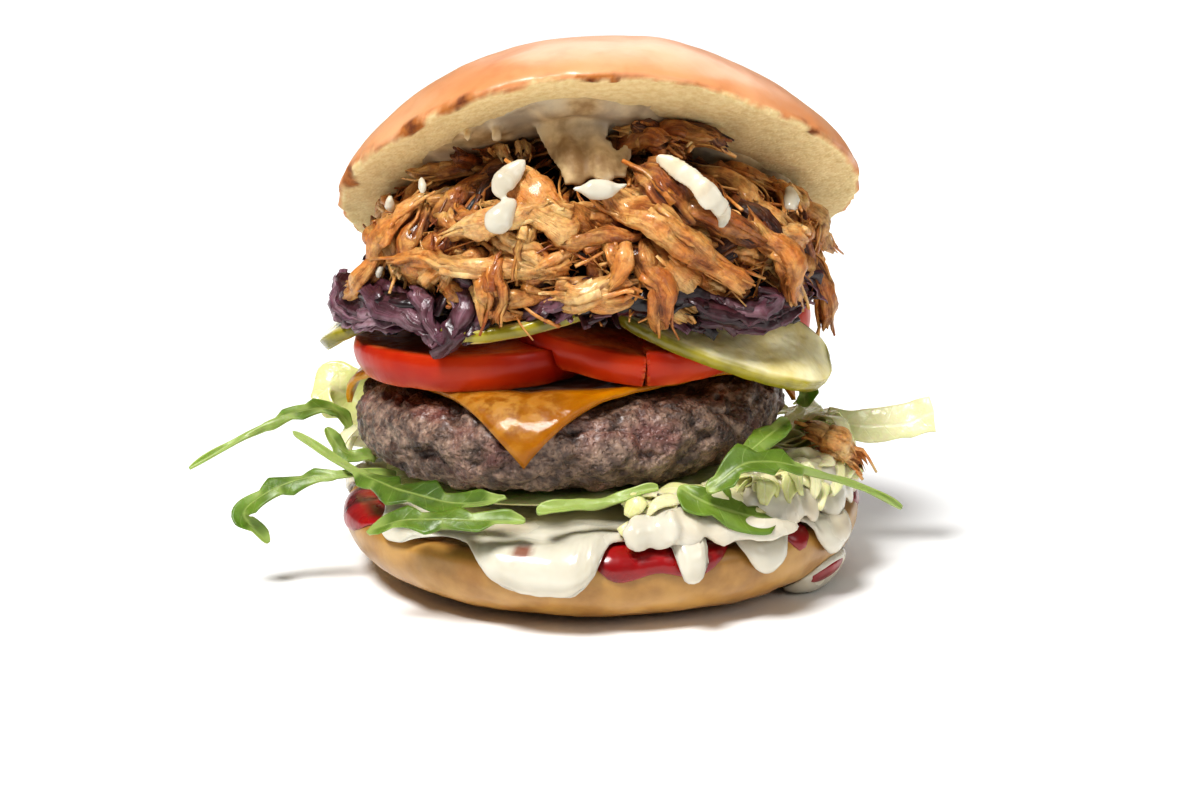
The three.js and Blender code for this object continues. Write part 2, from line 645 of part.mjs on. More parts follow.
place("lettuce_bed", heaped(lettuceCore, lettuceStrips), FINISHES.lettuce);

const LETTUCE_PIECES = [
  {
    name: "lettuce_left",
    points: [[-50, 19, 27], [-56, 19, 32], [-62, 18, 37], [-66, 17, 34]],
    width: 11,
    facing: [-0.4, -1, 0.5],
    away: [-1, 0.3, 0.3],
  },
  {
    name: "lettuce_right",
    points: [[47, 6, 30], [55, 5, 29], [64, 4, 30], [72, 3, 32]],
    width: 9,
    facing: [0, -1, 0.5],
    away: [1, 0, 0.3],
  },
];
for (const { name, points, width, facing, away } of LETTUCE_PIECES) {
  const piece = ribbon({
    points,
    width: (u) => width * (0.75 + 0.25 * u),
    thickness: LETTUCE_THICKNESS,
    facing,
    cells: [8, 2],
    wave: wavy(1.8, 1.5, 0.5),
  });
  placeClear(name, solidOf(piece), FINISHES.lettuce, { away });
}

// Rocket: leaves with a thin stem and a lobed blade, which lies between two shares of the length

function leafWidth({ blade, width, lobes, stem = ROCKET_STEM }) {
  const [from, to] = blade;
  return (u) => {
    const share = (u - from) / (to - from);
    if (share <= 0 || share >= 1) return stem;
    const lobed = 0.6 + 0.4 * Math.cos(2 * Math.PI * lobes * share);
    return stem + (width - stem) * Math.sin(Math.PI * share) ** 0.7 * lobed;
  };
}
const ROCKET = [
  {
    name: "rocket_stem_left",
    points: [[-57, 8, 29], [-61, 6, 33.5], [-71, 1, 33.5], [-92, -6, 23]],
    blade: [0, 0.55], width: 6, lobes: 2, away: [-1, 0, 0],
  },
  {
    name: "rocket_low_left",
    points: [[-46, -18, 25], [-57, -21, 25.5], [-69, -22, 24], [-79, -22, 17], [-74, -22, 10.5]],
    blade: [0.3, 1], width: 7.5, lobes: 2, away: [-1, -0.3, 0],
  },
  {
    name: "rocket_small_left",
    points: [[-49, -10, 26], [-56, -11, 28], [-60, -9, 33]],
    blade: [0, 1], width: 5.5, lobes: 1, away: [-1, 0, 0],
  },
  {
    name: "rocket_front_left",
    points: [[-68, -8, 32], [-58, -17, 28], [-42, -40, 27.5], [-28, -49, 27], [-19, -53, 29.5]],
    blade: [0.35, 0.98], width: 9, lobes: 2, away: [-0.4, -1, 0],
  },
  {
    name: "rocket_pointed",
    points: [[-48, -46, 20], [-40, -50, 23.5], [-28, -54, 24.8], [-15, -55, 25]],
    blade: [0, 1], width: 8, lobes: 1.5, away: [-0.2, -1, 0.3],
  },
  {
    name: "rocket_stem_front",
    points: [[-13, -55, 27], [0, -53, 28.5], [12, -51.5, 31]],
    blade: [0, 0.1], width: 3, lobes: 1, stem: 3, away: [0, -1, 0],
  },
  {
    name: "rocket_broad",
    points: [[16, -50, 30], [22, -52, 27], [30, -50, 24], [37, -45, 22]],
    blade: [0, 1], width: 11, lobes: 1, away: [0.2, -1, 0.2],
  },
  {
    name: "rocket_right",
    points: [[19, -48, 31], [27, -45, 36], [38, -39, 34], [50, -30, 28], [62, -23, 20.5]],
    blade: [0, 0.45], width: 9.5, lobes: 2, away: [0.5, -1, 0],
  },
  {
    name: "rocket_dark",
    points: [[28, -41, 33], [34, -37, 37], [40, -30, 40]],
    blade: [0, 1], width: 7, lobes: 1, away: [0.7, -0.7, 0],
  },
  {
    name: "rocket_back_right",
    points: [[47, 12, 33], [48, 12, 39], [50, 13, 45]],
    blade: [0, 1], width: 6, lobes: 1, away: [1, 0, 0],
  },
];
for (const leaf of ROCKET) {
  const blade = ribbon({
    points: leaf.points,
    width: leafWidth(leaf),
    thickness: LEAF_THICKNESS,
    facing: [0, -0.8, 1],
    cells: [8, 2],
    wave: (u, v) => 3.6 * (v - 0.5) ** 2 * Math.sin(9 * u),
  });
  placeClear(leaf.name, solidOf(blade), FINISHES.rocket, { away: leaf.away });
}

// A bit of pork that fell on the lettuce at the right

const bitShreds = [0, 1, 2].map((i) =>
  solidOf(
    spindle({
      points: [
        [45 + 2 * i, -12, 32 - 2 * i],
        [50, -13 - chance(i, 31), 29 + between(-2, 2, i, 32)],
        [57 - 2 * i, -11, 24 + 2.5 * i],
      ],
      width: 4.5,
      thickness: 3,
      facing: [0.3, -1, 0.2],
    }),
  ),
);
const bit = largestBody(wasm.Manifold.union(bitShreds));
placeClear("pork_bit", bit, FINISHES.pork, { away: [0, -1, 0.45] });

// Sauce that ran down beside the bottom bun: it clings to the underside, from the left end to the right and
// from its upper edge to the foot, and is thickest at its outer rim

// From and to are in degrees from the front, top and foot are runs along the section of the bun.
const DRIP = { from: 55, to: 76, top: 64.5, foot: 78, thickness: 3.4 };
const drip = sheet(8, 4, (u, v, side) => {
  const swell = Math.sqrt(Math.max(0.02, Math.sin(Math.PI * u) * Math.sin(Math.PI * v)));
  const run = (DRIP.top + DRIP.foot) / 2 + (v - 0.5) * (DRIP.foot - DRIP.top) * (1 - 0.7 * (2 * u - 1) ** 4);
  const angle = degrees(THREE.MathUtils.lerp(DRIP.from, DRIP.to, u) - 90);
  const spot = heelSection.getPointAt(run / heelSection.getLength());
  const slope = heelSection.getTangentAt(run / heelSection.getLength());
  const height = 3 * GAP + (side > 0 ? DRIP.thickness * swell : 0);
  const radius = (spot.x - slope.y * height) * unround(angle);
  const level = Math.max(0.1, spot.y + slope.x * height);
  return new THREE.Vector3(radius * Math.cos(angle), radius * Math.sin(angle), level);
});
place("sauce_drip", solidOf(drip), FINISHES.mayo);

export default burger;
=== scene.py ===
"""A tall hamburger on a pale floor: the looks of every layer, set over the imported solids."""
import itertools
import math

import bmesh
import bpy
from mathutils.bvhtree import BVHTree
import numpy as np
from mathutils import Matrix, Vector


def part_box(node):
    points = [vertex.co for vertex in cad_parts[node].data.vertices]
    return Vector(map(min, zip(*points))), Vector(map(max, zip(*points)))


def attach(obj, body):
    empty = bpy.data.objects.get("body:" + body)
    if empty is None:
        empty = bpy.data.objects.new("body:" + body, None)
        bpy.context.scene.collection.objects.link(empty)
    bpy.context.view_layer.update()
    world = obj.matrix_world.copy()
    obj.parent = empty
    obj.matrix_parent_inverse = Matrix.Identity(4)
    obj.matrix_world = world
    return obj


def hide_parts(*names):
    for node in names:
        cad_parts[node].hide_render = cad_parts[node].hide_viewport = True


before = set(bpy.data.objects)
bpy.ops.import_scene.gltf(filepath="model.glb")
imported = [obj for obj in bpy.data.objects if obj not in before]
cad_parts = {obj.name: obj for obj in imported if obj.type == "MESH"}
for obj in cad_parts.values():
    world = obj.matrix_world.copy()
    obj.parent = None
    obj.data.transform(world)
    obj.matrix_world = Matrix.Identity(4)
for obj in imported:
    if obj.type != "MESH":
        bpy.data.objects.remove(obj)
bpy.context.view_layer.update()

# Driving dimensions, in millimetres, as the solids have them

MM = 0.001
BUN_RADIUS = 57.5
HEEL_HEIGHT = 17
HEEL_FOOT_RADIUS = 35
HEEL_LIP = 3.5
HEEL_FLAT = BUN_RADIUS - HEEL_LIP
CROWN_HEIGHT = 26.8
CROWN_CENTRE = (-0.5, 4.8, 85.4)
CROWN_TILT = math.radians(28.5)
CROWN_ROLL = math.radians(-2.5)
CROWN_ARCH = {"rise": 1.6, "fall": 5.2, "from": 10, "to": 50}
KETCHUP_THICKNESS = 2.0
MAYO_THICKNESS = 2.2
PATTY_RADIUS = 48.5
PATTY_HEIGHT = 19.5
PATTY_CENTRE = (-6.3, -2, 26.8)
PATTY_ROLL = math.radians(-2.7)
CHEESE_SIDE = 76
CHEESE_THICKNESS = 1.3
CHEESE_TURN = math.radians(-10)
CHEESE_CORNER_PULL = 0.015
CHEESE_RIM_LIFT = 1.2
CHEESE_SLIP = 1.4
TOMATO_RADIUS = 28
TOMATO_THICKNESS = 7.4
TOMATO_TAPER = 0.55
PICKLE_THICKNESS = 3.4
PICKLE_WIDTH = 23
CABBAGE_TOP = 71
PORK_CENTRE = (-1, -6, 76)
PORK_RADII = (46, 38, 20)
GAP = 0.3

CAMERA_DISTANCE = 520
CAMERA_HEIGHT = 160
CAMERA_PITCH = math.radians(13.26)
CAMERA_LENS = 71.0
CAMERA_SENSOR = 36


# Numbers that look random and are the same every time

def chance(index, kind):
    """A number from 0 to 1 for the index-th thing."""
    wave = math.sin(index * 12.9898 + kind * 78.233) * 43758.5453
    return wave - math.floor(wave)


def between(low, high, index, kind):
    return low + (high - low) * chance(index, kind)


def lattice(corner, seed):
    """Numbers from 0 to 1 at whole-number corners of space."""
    x, y, z = (corner[..., k].astype(np.int64) for k in range(3))
    bits = (x * 374761393 + y * 668265263 + z * 1442695041 + seed * 974634553) & 0xFFFFFFFF
    bits = ((bits ^ (bits >> 13)) * 1274126177) & 0xFFFFFFFF
    bits = ((bits ^ (bits >> 16)) * 2246822519) & 0xFFFFFFFF
    return (bits ^ (bits >> 15)) / 0xFFFFFFFF


def grain(spots, size, seed=0):
    """Smooth noise from -1 to 1 with lumps of the given size."""
    scaled = np.asarray(spots) / size + 17.3 * seed
    cell = np.floor(scaled)
    share = scaled - cell
    share = share * share * share * (share * (share * 6 - 15) + 10)
    total = np.zeros(scaled.shape[:-1])
    for corner in itertools.product((0, 1), repeat=3):
        weight = np.prod(np.where(corner, share, 1 - share), axis=-1)
        total += weight * lattice(cell + corner, seed)
    return 2 * total - 1


def rough(spots, size, seed=0, octaves=3):
    """Noise with ever finer lumps."""
    return sum(0.5 ** k * grain(spots, size * 0.5 ** k, seed + 7 * k) for k in range(octaves))


def wander(spots, size, seed, apart=0, noise=grain):
    """Noise in three directions, from places that are apart in space or else from seeds of their own."""
    return np.stack([noise(spots + apart * axis, size, seed if apart else seed + axis) for axis in range(3)],
                    axis=-1)


def crumbs(spots, size, seed=0):
    """How far a spot is from the nearest of many scattered middles, 0 to about 1, and a number per crumb."""
    scaled = np.asarray(spots) / size
    cell = np.floor(scaled)
    nearest = np.full(scaled.shape[:-1], 9.0)
    owner = np.zeros(scaled.shape[:-1])
    for step in itertools.product((-1, 0, 1), repeat=3):
        other = cell + step
        middle = other + np.stack([lattice(other, seed + k) for k in range(3)], axis=-1)
        away = np.linalg.norm(scaled - middle, axis=-1)
        closer = away < nearest
        nearest = np.where(closer, away, nearest)
        owner = np.where(closer, lattice(other, seed + 5), owner)
    return nearest, owner


def ramp(value, low, high):
    """0 below low, 1 above high, smooth between."""
    share = np.clip((value - low) / (high - low), 0, 1)
    return share * share * (3 - 2 * share)


def spindle(u, blunt, margin=0.03):
    """1 in the middle of a shred and less to its ends, which are blunter for a smaller power."""
    return np.sin(math.pi * np.clip(margin + (1 - 2 * margin) * u, 0, 1)) ** blunt


# Outlines and curves

def bend(*controls, steps=16):
    """Points of a Bezier curve, the first one left out."""
    points = np.array(controls, float)
    degree = len(points) - 1
    u = np.linspace(0, 1, steps + 1)[1:, None]
    return sum(math.comb(degree, k) * u ** k * (1 - u) ** (degree - k) * points[k] for k in range(degree + 1))


class Outline:
    """A section of radius and height, walked by its length."""

    def __init__(self, start, *pieces):
        self.spots = np.vstack([np.array([start], float), *[np.atleast_2d(piece) for piece in pieces]])
        steps = np.linalg.norm(np.diff(self.spots, axis=0), axis=1)
        self.runs = np.concatenate([[0], np.cumsum(steps)])
        self.length = self.runs[-1]

    def at(self, run):
        return np.stack([np.interp(run, self.runs, self.spots[:, k]) for k in range(2)], axis=-1)

    def along(self, run):
        step = self.at(run + 0.4) - self.at(run - 0.4)
        return step / np.maximum(np.linalg.norm(step, axis=-1, keepdims=True), 1e-9)

    def off(self, run, height):
        """The radius and the level of spots that stand off the outline by a height."""
        spot, slope = self.at(run), self.along(run)
        return spot[..., 0] - slope[..., 1] * height, spot[..., 1] + slope[..., 0] * height


def curve_through(points, count):
    """Points spread evenly along a smooth curve through the given ones."""
    knots = [np.array(p, float) for p in points]
    knots = [2 * knots[0] - knots[1], *knots, 2 * knots[-1] - knots[-2]]
    u = np.linspace(0, 1, 25)[:, None]
    fine = []
    for before, start, end, after in zip(knots, knots[1:], knots[2:], knots[3:]):
        lead, span, tail = (math.sqrt(np.linalg.norm(b - a)) for a, b in
                            ((before, start), (start, end), (end, after)))
        leave = span * ((start - before) / lead - (end - before) / (lead + span) + (end - start) / span)
        arrive = span * ((end - start) / span - (after - start) / (span + tail) + (after - end) / tail)
        fine.append((2 * u ** 3 - 3 * u ** 2 + 1) * start + (u ** 3 - 2 * u ** 2 + u) * leave
                    + (3 * u ** 2 - 2 * u ** 3) * end + (u ** 3 - u ** 2) * arrive)
    fine = np.vstack(fine)
    runs = np.concatenate([[0], np.cumsum(np.linalg.norm(np.diff(fine, axis=0), axis=1))])
    wanted = np.linspace(0, runs[-1], count)
    return np.stack([np.interp(wanted, runs, fine[:, k]) for k in range(3)], axis=-1)


def length_of(spine):
    return np.linalg.norm(np.diff(spine, axis=0), axis=1).sum()


def unit(vectors):
    return vectors / np.maximum(np.linalg.norm(vectors, axis=-1, keepdims=True), 1e-9)


def sides_of(spine, facing):
    """The sideways and upward directions along a spine, seen from the facing direction."""
    along = unit(np.gradient(spine, axis=0))
    side = unit(np.cross(np.broadcast_to(np.array(facing, float), along.shape), along))
    return side, np.cross(along, side)


def outward(angle, rise):
    """A direction away from the middle of the burger."""
    return math.cos(angle), math.sin(angle), rise


def turning(about_x, about_y, about_z=0.0):
    """The matrix that turns about X, Y and Z in a nested frame."""
    cx, sx, cy, sy = math.cos(about_x), math.sin(about_x), math.cos(about_y), math.sin(about_y)
    cz, sz = math.cos(about_z), math.sin(about_z)
    tip = np.array([[1, 0, 0], [0, cx, -sx], [0, sx, cx]])
    lean = np.array([[cy, 0, sy], [0, 1, 0], [-sy, 0, cy]])
    spin = np.array([[cz, -sz, 0], [sz, cz, 0], [0, 0, 1]])
    return tip @ lean @ spin


def set_down(spots, centre, matrix):
    return spots @ matrix.T + np.array(centre, float)


CROWN_FRAME = (CROWN_CENTRE, turning(-CROWN_TILT, CROWN_ROLL))
PATTY_FRAME = (PATTY_CENTRE, turning(0, PATTY_ROLL))


# Meshes

def grid_faces(rows, columns, closed=False):
    """Four-sided faces of a grid of spots. closed joins the last column to the first."""
    i = np.arange(rows - 1)[:, None]
    j = np.arange(columns if closed else columns - 1)[None, :]
    k = (j + 1) % columns
    a, b, c, d = i * columns + j, i * columns + k, (i + 1) * columns + k, (i + 1) * columns + j
    return np.stack([a, b, c, d], axis=-1).reshape(-1, 4)


class Pile:
    """Loose bits that become one mesh. A mark is a number at every spot, for the finish to read."""

    def __init__(self):
        self.spots, self.faces, self.marks, self.count = [], [], [], 0

    def add(self, spots, faces, **marks):
        spots = np.asarray(spots).reshape(-1, 3)
        self.spots.append(spots)
        self.faces.extend((np.asarray(group) + self.count).tolist() for group in faces)
        every = {name: np.broadcast_to(np.ravel(value), len(spots)) for name, value in marks.items()}
        self.marks.append(every)
        self.count += len(spots)

    def piece(self, name, finish, nodes=(), weld=False):
        mesh = bpy.data.meshes.new(name)
        mesh.from_pydata((np.vstack(self.spots) * MM).tolist(), [], list(itertools.chain(*self.faces)))
        for label in self.marks[0]:
            layer = mesh.attributes.new(label, "FLOAT", "POINT")
            layer.data.foreach_set("value", np.concatenate([marks[label] for marks in self.marks]))
        if weld:
            shape = bmesh.new()
            shape.from_mesh(mesh)
            bmesh.ops.remove_doubles(shape, verts=shape.verts, dist=1e-6)
            shape.to_mesh(mesh)
            shape.free()
        mesh.validate()
        mesh.shade_smooth()
        made = bpy.data.objects.new(name, mesh)
        bpy.context.scene.collection.objects.link(made)
        made.data.materials.append(finish.material)
        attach(made, "root")
        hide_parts(*nodes)
        return made


def polar(radius, angle, height):
    """Spots at a radius and an angle round Z, at a height."""
    radius, angle, height = np.broadcast_arrays(radius, angle, height)
    return np.stack([radius * np.cos(angle), radius * np.sin(angle), height], axis=-1)


def turned(outline_spots, around):
    """Spots of a shape turned about Z: one row for each point of the outline."""
    angles = np.linspace(0, 2 * math.pi, around, endpoint=False)
    return polar(outline_spots[:, :1], angles, outline_spots[:, 1:])


def unround(spots):
    """Makes a turned bun a little less round."""
    angles = np.arctan2(spots[..., 1], spots[..., 0])
    scale = 1 + 0.008 * np.sin(2 * angles + 0.6) + 0.006 * np.sin(3 * angles + 2.1)
    return spots * np.stack([scale, scale, np.ones_like(scale)], axis=-1)


def normals_of(grid):
    """Outward directions of a grid of spots whose last column meets the first."""
    wide = np.concatenate([grid[:, -1:], grid, grid[:, :1]], axis=1)
    across = np.gradient(wide, axis=1)[:, 1:-1]
    return unit(np.cross(across, np.gradient(grid, axis=0)))


def two_sided(middle, up, thickness):
    """A closed sheet from its middle: rows by columns of spots, with thickness along up."""
    rows, columns = middle.shape[:2]
    half = 0.5 * np.broadcast_to(thickness, middle.shape[:2])[..., None] * up
    upper, lower = grid_faces(rows, columns), grid_faces(rows, columns)[:, ::-1] + rows * columns
    index = np.arange(rows * columns).reshape(rows, columns)
    rim = np.concatenate([index[0, :-1], index[:-1, -1], index[-1, :0:-1], index[:0:-1, 0]])
    following = np.roll(rim, -1)
    edge = np.stack([following, rim, rim + rows * columns, following + rows * columns], axis=-1)
    spots = np.concatenate([(middle + half).reshape(-1, 3), (middle - half).reshape(-1, 3)])
    return spots, [upper, lower, edge]


def both_faces(values):
    """A mark for the two faces of a sheet."""
    return np.tile(np.ravel(values), 2)


def tube(spine, across, thick, facing, sides, swell=1.0):
    """A closed tube along a spine. across and thick are its half sizes, which swell scales at every spot."""
    side, up = sides_of(spine, facing)
    angles = np.linspace(0, 2 * math.pi, sides, endpoint=False)
    ring = (side[:, None] * (np.asarray(across)[:, None] * np.cos(angles) * swell)[..., None]
            + up[:, None] * (np.asarray(thick)[:, None] * np.sin(angles) * swell)[..., None])
    spots = (spine[:, None] + ring).reshape(-1, 3)
    last = len(spine) * sides - sides
    caps = [np.arange(sides)[None, :], last + np.arange(sides)[None, ::-1]]
    return spots, [grid_faces(len(spine), sides, closed=True)[:, ::-1], *caps]


# Finishes

def hue(code):
    """Linear colour from six hex digits."""
    shares = [int(code[k:k + 2], 16) / 255 for k in (0, 2, 4)]
    return (*[s / 12.92 if s < 0.04045 else ((s + 0.055) / 1.055) ** 2.4 for s in shares], 1.0)


def feed(tree, socket, value):
    """Sets a socket, or links it when the value is another node's output."""
    if isinstance(value, bpy.types.NodeSocket):
        tree.links.new(value, socket)
    else:
        socket.default_value = value


def add(tree, kind, settings=(), **inputs):
    """A new node with its settings and its inputs."""
    node = tree.nodes.new(kind)
    for name, value in dict(settings).items():
        setattr(node, name, value)
    for name, value in inputs.items():
        feed(tree, node.inputs[name.replace("_", " ")], value)
    return node


def mixed(tree, share, first, second, way="MIX"):
    """One colour laid over another by a share from 0 to 1."""
    node = add(tree, "ShaderNodeMix", {"data_type": "RGBA", "blend_type": way})
    for socket, value in zip((node.inputs[0], node.inputs[6], node.inputs[7]), (share, first, second)):
        feed(tree, socket, value)
    return node.outputs[2]


def maths(tree, operation, first, second=0.0, third=0.0):
    node = tree.nodes.new("ShaderNodeMath")
    node.operation = operation
    for socket, value in zip(node.inputs, (first, second, third)):
        feed(tree, socket, value)
    return node.outputs[0]


def window(tree, value, low, high):
    """0 below low, 1 above high, smooth between."""
    node = add(tree, "ShaderNodeMapRange", {"interpolation_type": "SMOOTHSTEP"}, Value=value)
    feed(tree, node.inputs["From Min"], low)
    feed(tree, node.inputs["From Max"], high)
    return node.outputs["Result"]


def mark(tree, name):
    """A number that the mesh carries at every spot."""
    return add(tree, "ShaderNodeAttribute", {"attribute_name": name}).outputs["Fac"]


def new_group(name, inputs, outputs):
    """A node group with named sockets. Returns its tree, its inputs and its output node."""
    tree = bpy.data.node_groups.new(name, "ShaderNodeTree")
    kinds = {"number": "NodeSocketFloat", "colour": "NodeSocketColor"}
    for label, kind in inputs.items():
        tree.interface.new_socket(label, in_out="INPUT", socket_type=kinds[kind])
    for label, kind in outputs.items():
        tree.interface.new_socket(label, in_out="OUTPUT", socket_type=kinds[kind])
    return tree, tree.nodes.new("NodeGroupInput").outputs, tree.nodes.new("NodeGroupOutput").inputs


def use(tree, group, **inputs):
    """Places a node group in a material."""
    return add(tree, "ShaderNodeGroup", {"node_tree": group}, **inputs).outputs


def mottle_group():
    """Soft patches of two colours."""
    tree, given, out = new_group(
        "Mottle",
        {"Scale": "number", "Detail": "number", "Low": "number", "High": "number",
         "Dark": "colour", "Light": "colour"},
        {"Colour": "colour", "Mask": "number"})
    place = tree.nodes.new("ShaderNodeTexCoord").outputs["Object"]
    noise = add(tree, "ShaderNodeTexNoise", Vector=place, Scale=given["Scale"], Detail=given["Detail"])
    mask = window(tree, noise.outputs["Fac"], given["Low"], given["High"])
    feed(tree, out["Colour"], mixed(tree, mask, given["Dark"], given["Light"]))
    feed(tree, out["Mask"], mask)
    return tree


def relief_group():
    """Fine uneven height, with pits where Pits is above 0."""
    tree, given, out = new_group(
        "Relief", {"Scale": "number", "Detail": "number", "Pits": "number"}, {"Height": "number"})
    place = tree.nodes.new("ShaderNodeTexCoord").outputs["Object"]
    noise = add(tree, "ShaderNodeTexNoise", Vector=place, Scale=given["Scale"], Detail=given["Detail"])
    cells = add(tree, "ShaderNodeTexVoronoi", {"feature": "SMOOTH_F1"}, Vector=place, Scale=given["Scale"])
    pits = maths(tree, "MULTIPLY", window(tree, cells.outputs["Distance"], 0.1, 0.5), given["Pits"])
    feed(tree, out["Height"], maths(tree, "ADD", noise.outputs["Fac"], pits))
    return tree


def specks_group():
    """Scattered small spots."""
    tree, given, out = new_group("Specks", {"Scale": "number", "Size": "number"}, {"Mask": "number"})
    place = tree.nodes.new("ShaderNodeTexCoord").outputs["Object"]
    cells = add(tree, "ShaderNodeTexVoronoi", Vector=place, Scale=given["Scale"])
    inner = maths(tree, "MULTIPLY", given["Size"], 0.5)
    feed(tree, out["Mask"], maths(
        tree, "SUBTRACT", 1.0, window(tree, cells.outputs["Distance"], inner, given["Size"])))
    return tree


def fibres_group():
    """Streaks that run along a strand, leaf or strip, from its marks along, across and kind."""
    tree, given, out = new_group(
        "Fibres", {"Along": "number", "Across": "number"}, {"Height": "number", "Tone": "number"})
    run = maths(tree, "MULTIPLY", mark(tree, "along"), given["Along"])
    turn = maths(tree, "MULTIPLY", mark(tree, "across"), given["Across"])
    apart = maths(tree, "MULTIPLY", mark(tree, "kind"), 57.0)
    place = add(tree, "ShaderNodeCombineXYZ", X=run, Y=turn, Z=apart).outputs[0]
    fine = add(tree, "ShaderNodeTexNoise", Vector=place, Scale=1.0, Detail=3.0)
    broad = add(tree, "ShaderNodeTexNoise", Vector=place, Scale=0.35, Detail=1.0)
    feed(tree, out["Height"], fine.outputs["Fac"])
    feed(tree, out["Tone"], window(tree, broad.outputs["Fac"], 0.3, 0.7))
    return tree


MOTTLE, RELIEF, SPECKS, FIBRES = mottle_group(), relief_group(), specks_group(), fibres_group()
BLACK, WHITE = "000000", "FFFFFF"


def mottled(tree, dark, light, scale, detail=4.0, low=0.3, high=0.7):
    """Patches of two colours in hex digits: their colour, and the mask of the light ones."""
    return use(tree, MOTTLE, Scale=scale, Detail=detail, Low=low, High=high,
               Dark=hue(dark), Light=hue(light))


def fine_relief(tree, scale, detail, pits=0.0):
    return use(tree, RELIEF, Scale=scale, Detail=detail, Pits=pits)["Height"]


class Finish:
    """A material, and the record's slot that it belongs to."""

    def __init__(self, name, slot, **constants):
        self.slot = slot
        self.material = bpy.data.materials.new(name)
        self.material.use_nodes = True
        self.tree = self.material.node_tree
        self.shader = self.tree.nodes["Principled BSDF"]
        for label, value in constants.items():
            self.shader.inputs[label.replace("_", " ")].default_value = value

    def colour(self, value):
        feed(self.tree, self.shader.inputs["Base Color"], value)

    def gloss(self, value):
        feed(self.tree, self.shader.inputs["Roughness"], value)

    def bump(self, height, depth):
        """Raises the surface by the height, which is up to depth in millimetres."""
        node = add(self.tree, "ShaderNodeBump", Height=height, Strength=1.0, Distance=depth * MM)
        feed(self.tree, self.shader.inputs["Normal"], node.outputs[0])


FLESH_GLOW = (1.0, 0.45, 0.25)
SAUCE_COAT = 0.35


def bun_finish():
    """Baked crust, with pale crumb where the bun is cut and a toasted edge between them."""
    made = Finish("bun", "crust", Subsurface_Weight=0.12, Subsurface_Radius=FLESH_GLOW,
                  Subsurface_Scale=0.004, Coat_Roughness=0.25)
    tree = made.tree
    crust = mottled(tree, "DE9560", "EDB080", 38.0, high=0.72)
    blush = mottled(tree, WHITE, "F3DCC8", 170.0, 6.0, 0.45, 0.8)
    skin = mixed(tree, 0.6, crust["Colour"], blush["Colour"], "MULTIPLY")
    # The bottom bun's crust takes a yellower colour of its own, darkened further as painted shade for the
    # shade the heel sits in under the burger.
    under = mottled(tree, "946828", "BC9048", 110.0, 6.0)
    skin = mixed(tree, mark(tree, "pale"), skin, under["Colour"])
    crumb = mottled(tree, "E2C48A", "F2DBA6", 700.0, low=0.25, high=0.75)
    inside = mark(tree, "crumb")
    body = mixed(tree, inside, skin, crumb["Colour"])
    scorch = mottled(tree, "602A0C", "B06A2A", 300.0, 5.0, high=0.65)
    made.colour(mixed(tree, mark(tree, "toast"), body, scorch["Colour"]))
    dull = window(tree, maths(tree, "ADD", inside, mark(tree, "toast")), 0.0, 0.6)
    made.gloss(maths(tree, "MULTIPLY_ADD", dull, 0.45, 0.38))
    feed(tree, made.shader.inputs["Coat Weight"], maths(tree, "MULTIPLY_ADD", dull, -0.3, 0.3))
    wrinkle = maths(tree, "MULTIPLY", fine_relief(tree, 420.0, 4.0), 0.16)
    pores = maths(tree, "MULTIPLY", fine_relief(tree, 1300.0, 4.0, 1.2), dull)
    made.bump(maths(tree, "MULTIPLY_ADD", pores, 0.15, wrinkle), 0.4)
    return made


def sauce_finish(name, slot, light, deep, thin=None, gloss=0.16, glow=0.35, rippled=0.25):
    """A wet sauce. Where the mesh is marked thin, what lies under it shows through as duller colours."""
    made = Finish(name, slot, Subsurface_Weight=glow, Subsurface_Radius=(1.0, 0.8, 0.6),
                  Subsurface_Scale=0.002, Coat_Weight=SAUCE_COAT, Coat_Roughness=0.08)
    tree = made.tree
    body = mottled(tree, deep, light, 90.0, 3.0)["Colour"]
    wet = maths(tree, "MULTIPLY_ADD", mottled(tree, BLACK, WHITE, 220.0, 2.0, 0.2, 0.8)["Mask"], 0.12, gloss)
    if thin:
        through = mottled(tree, *thin, 150.0, 5.0, 0.34, 0.62)
        body = mixed(tree, mark(tree, "thin"), body, through["Colour"])
        body = mixed(tree, maths(tree, "MULTIPLY", mark(tree, "juice"), 0.85), body, hue("7E3212"))
        coat = maths(tree, "MULTIPLY_ADD", mark(tree, "thin"), -SAUCE_COAT, SAUCE_COAT)
        feed(tree, made.shader.inputs["Coat Weight"], coat)
        wet = maths(tree, "MULTIPLY_ADD", mark(tree, "thin"), 0.42, wet)
    made.colour(body)
    made.gloss(wet)
    made.bump(fine_relief(tree, 180.0, 2.0), rippled)
    return made


def beef_finish():
    """Browned mince with cracks painted darker as painted shade, pinkish moist patches and a few specks of
    fat.
    """
    made = Finish("beef", "beef", Subsurface_Weight=0.08, Subsurface_Radius=FLESH_GLOW,
                  Subsurface_Scale=0.002, Coat_Weight=0.26, Coat_Roughness=0.24)
    tree = made.tree
    mince = mottled(tree, "665046", "AE927E", 640.0, 6.0, 0.32)
    pink = mottled(tree, BLACK, WHITE, 80.0, 3.0, 0.5, 0.72)
    lumps = mottled(tree, "887870", WHITE, 210.0, low=0.32, high=0.66)
    body = mixed(tree, 1.0, mince["Colour"], lumps["Colour"], "MULTIPLY")
    body = mixed(tree, maths(tree, "MULTIPLY", pink["Mask"], 0.5), body, hue("8A5650"))
    # Painted shade: the cracks between the crumbs take a near-black brown.
    body = mixed(tree, mark(tree, "crack"), body, hue("24130D"))
    fat = use(tree, SPECKS, Scale=420.0, Size=0.16)["Mask"]
    made.colour(mixed(tree, maths(tree, "MULTIPLY", fat, 0.25), body, hue("BFA594")))
    made.gloss(maths(tree, "MULTIPLY_ADD", pink["Mask"], -0.18, 0.48))
    made.bump(fine_relief(tree, 1100.0, 5.0, 0.8), 0.42)
    return made


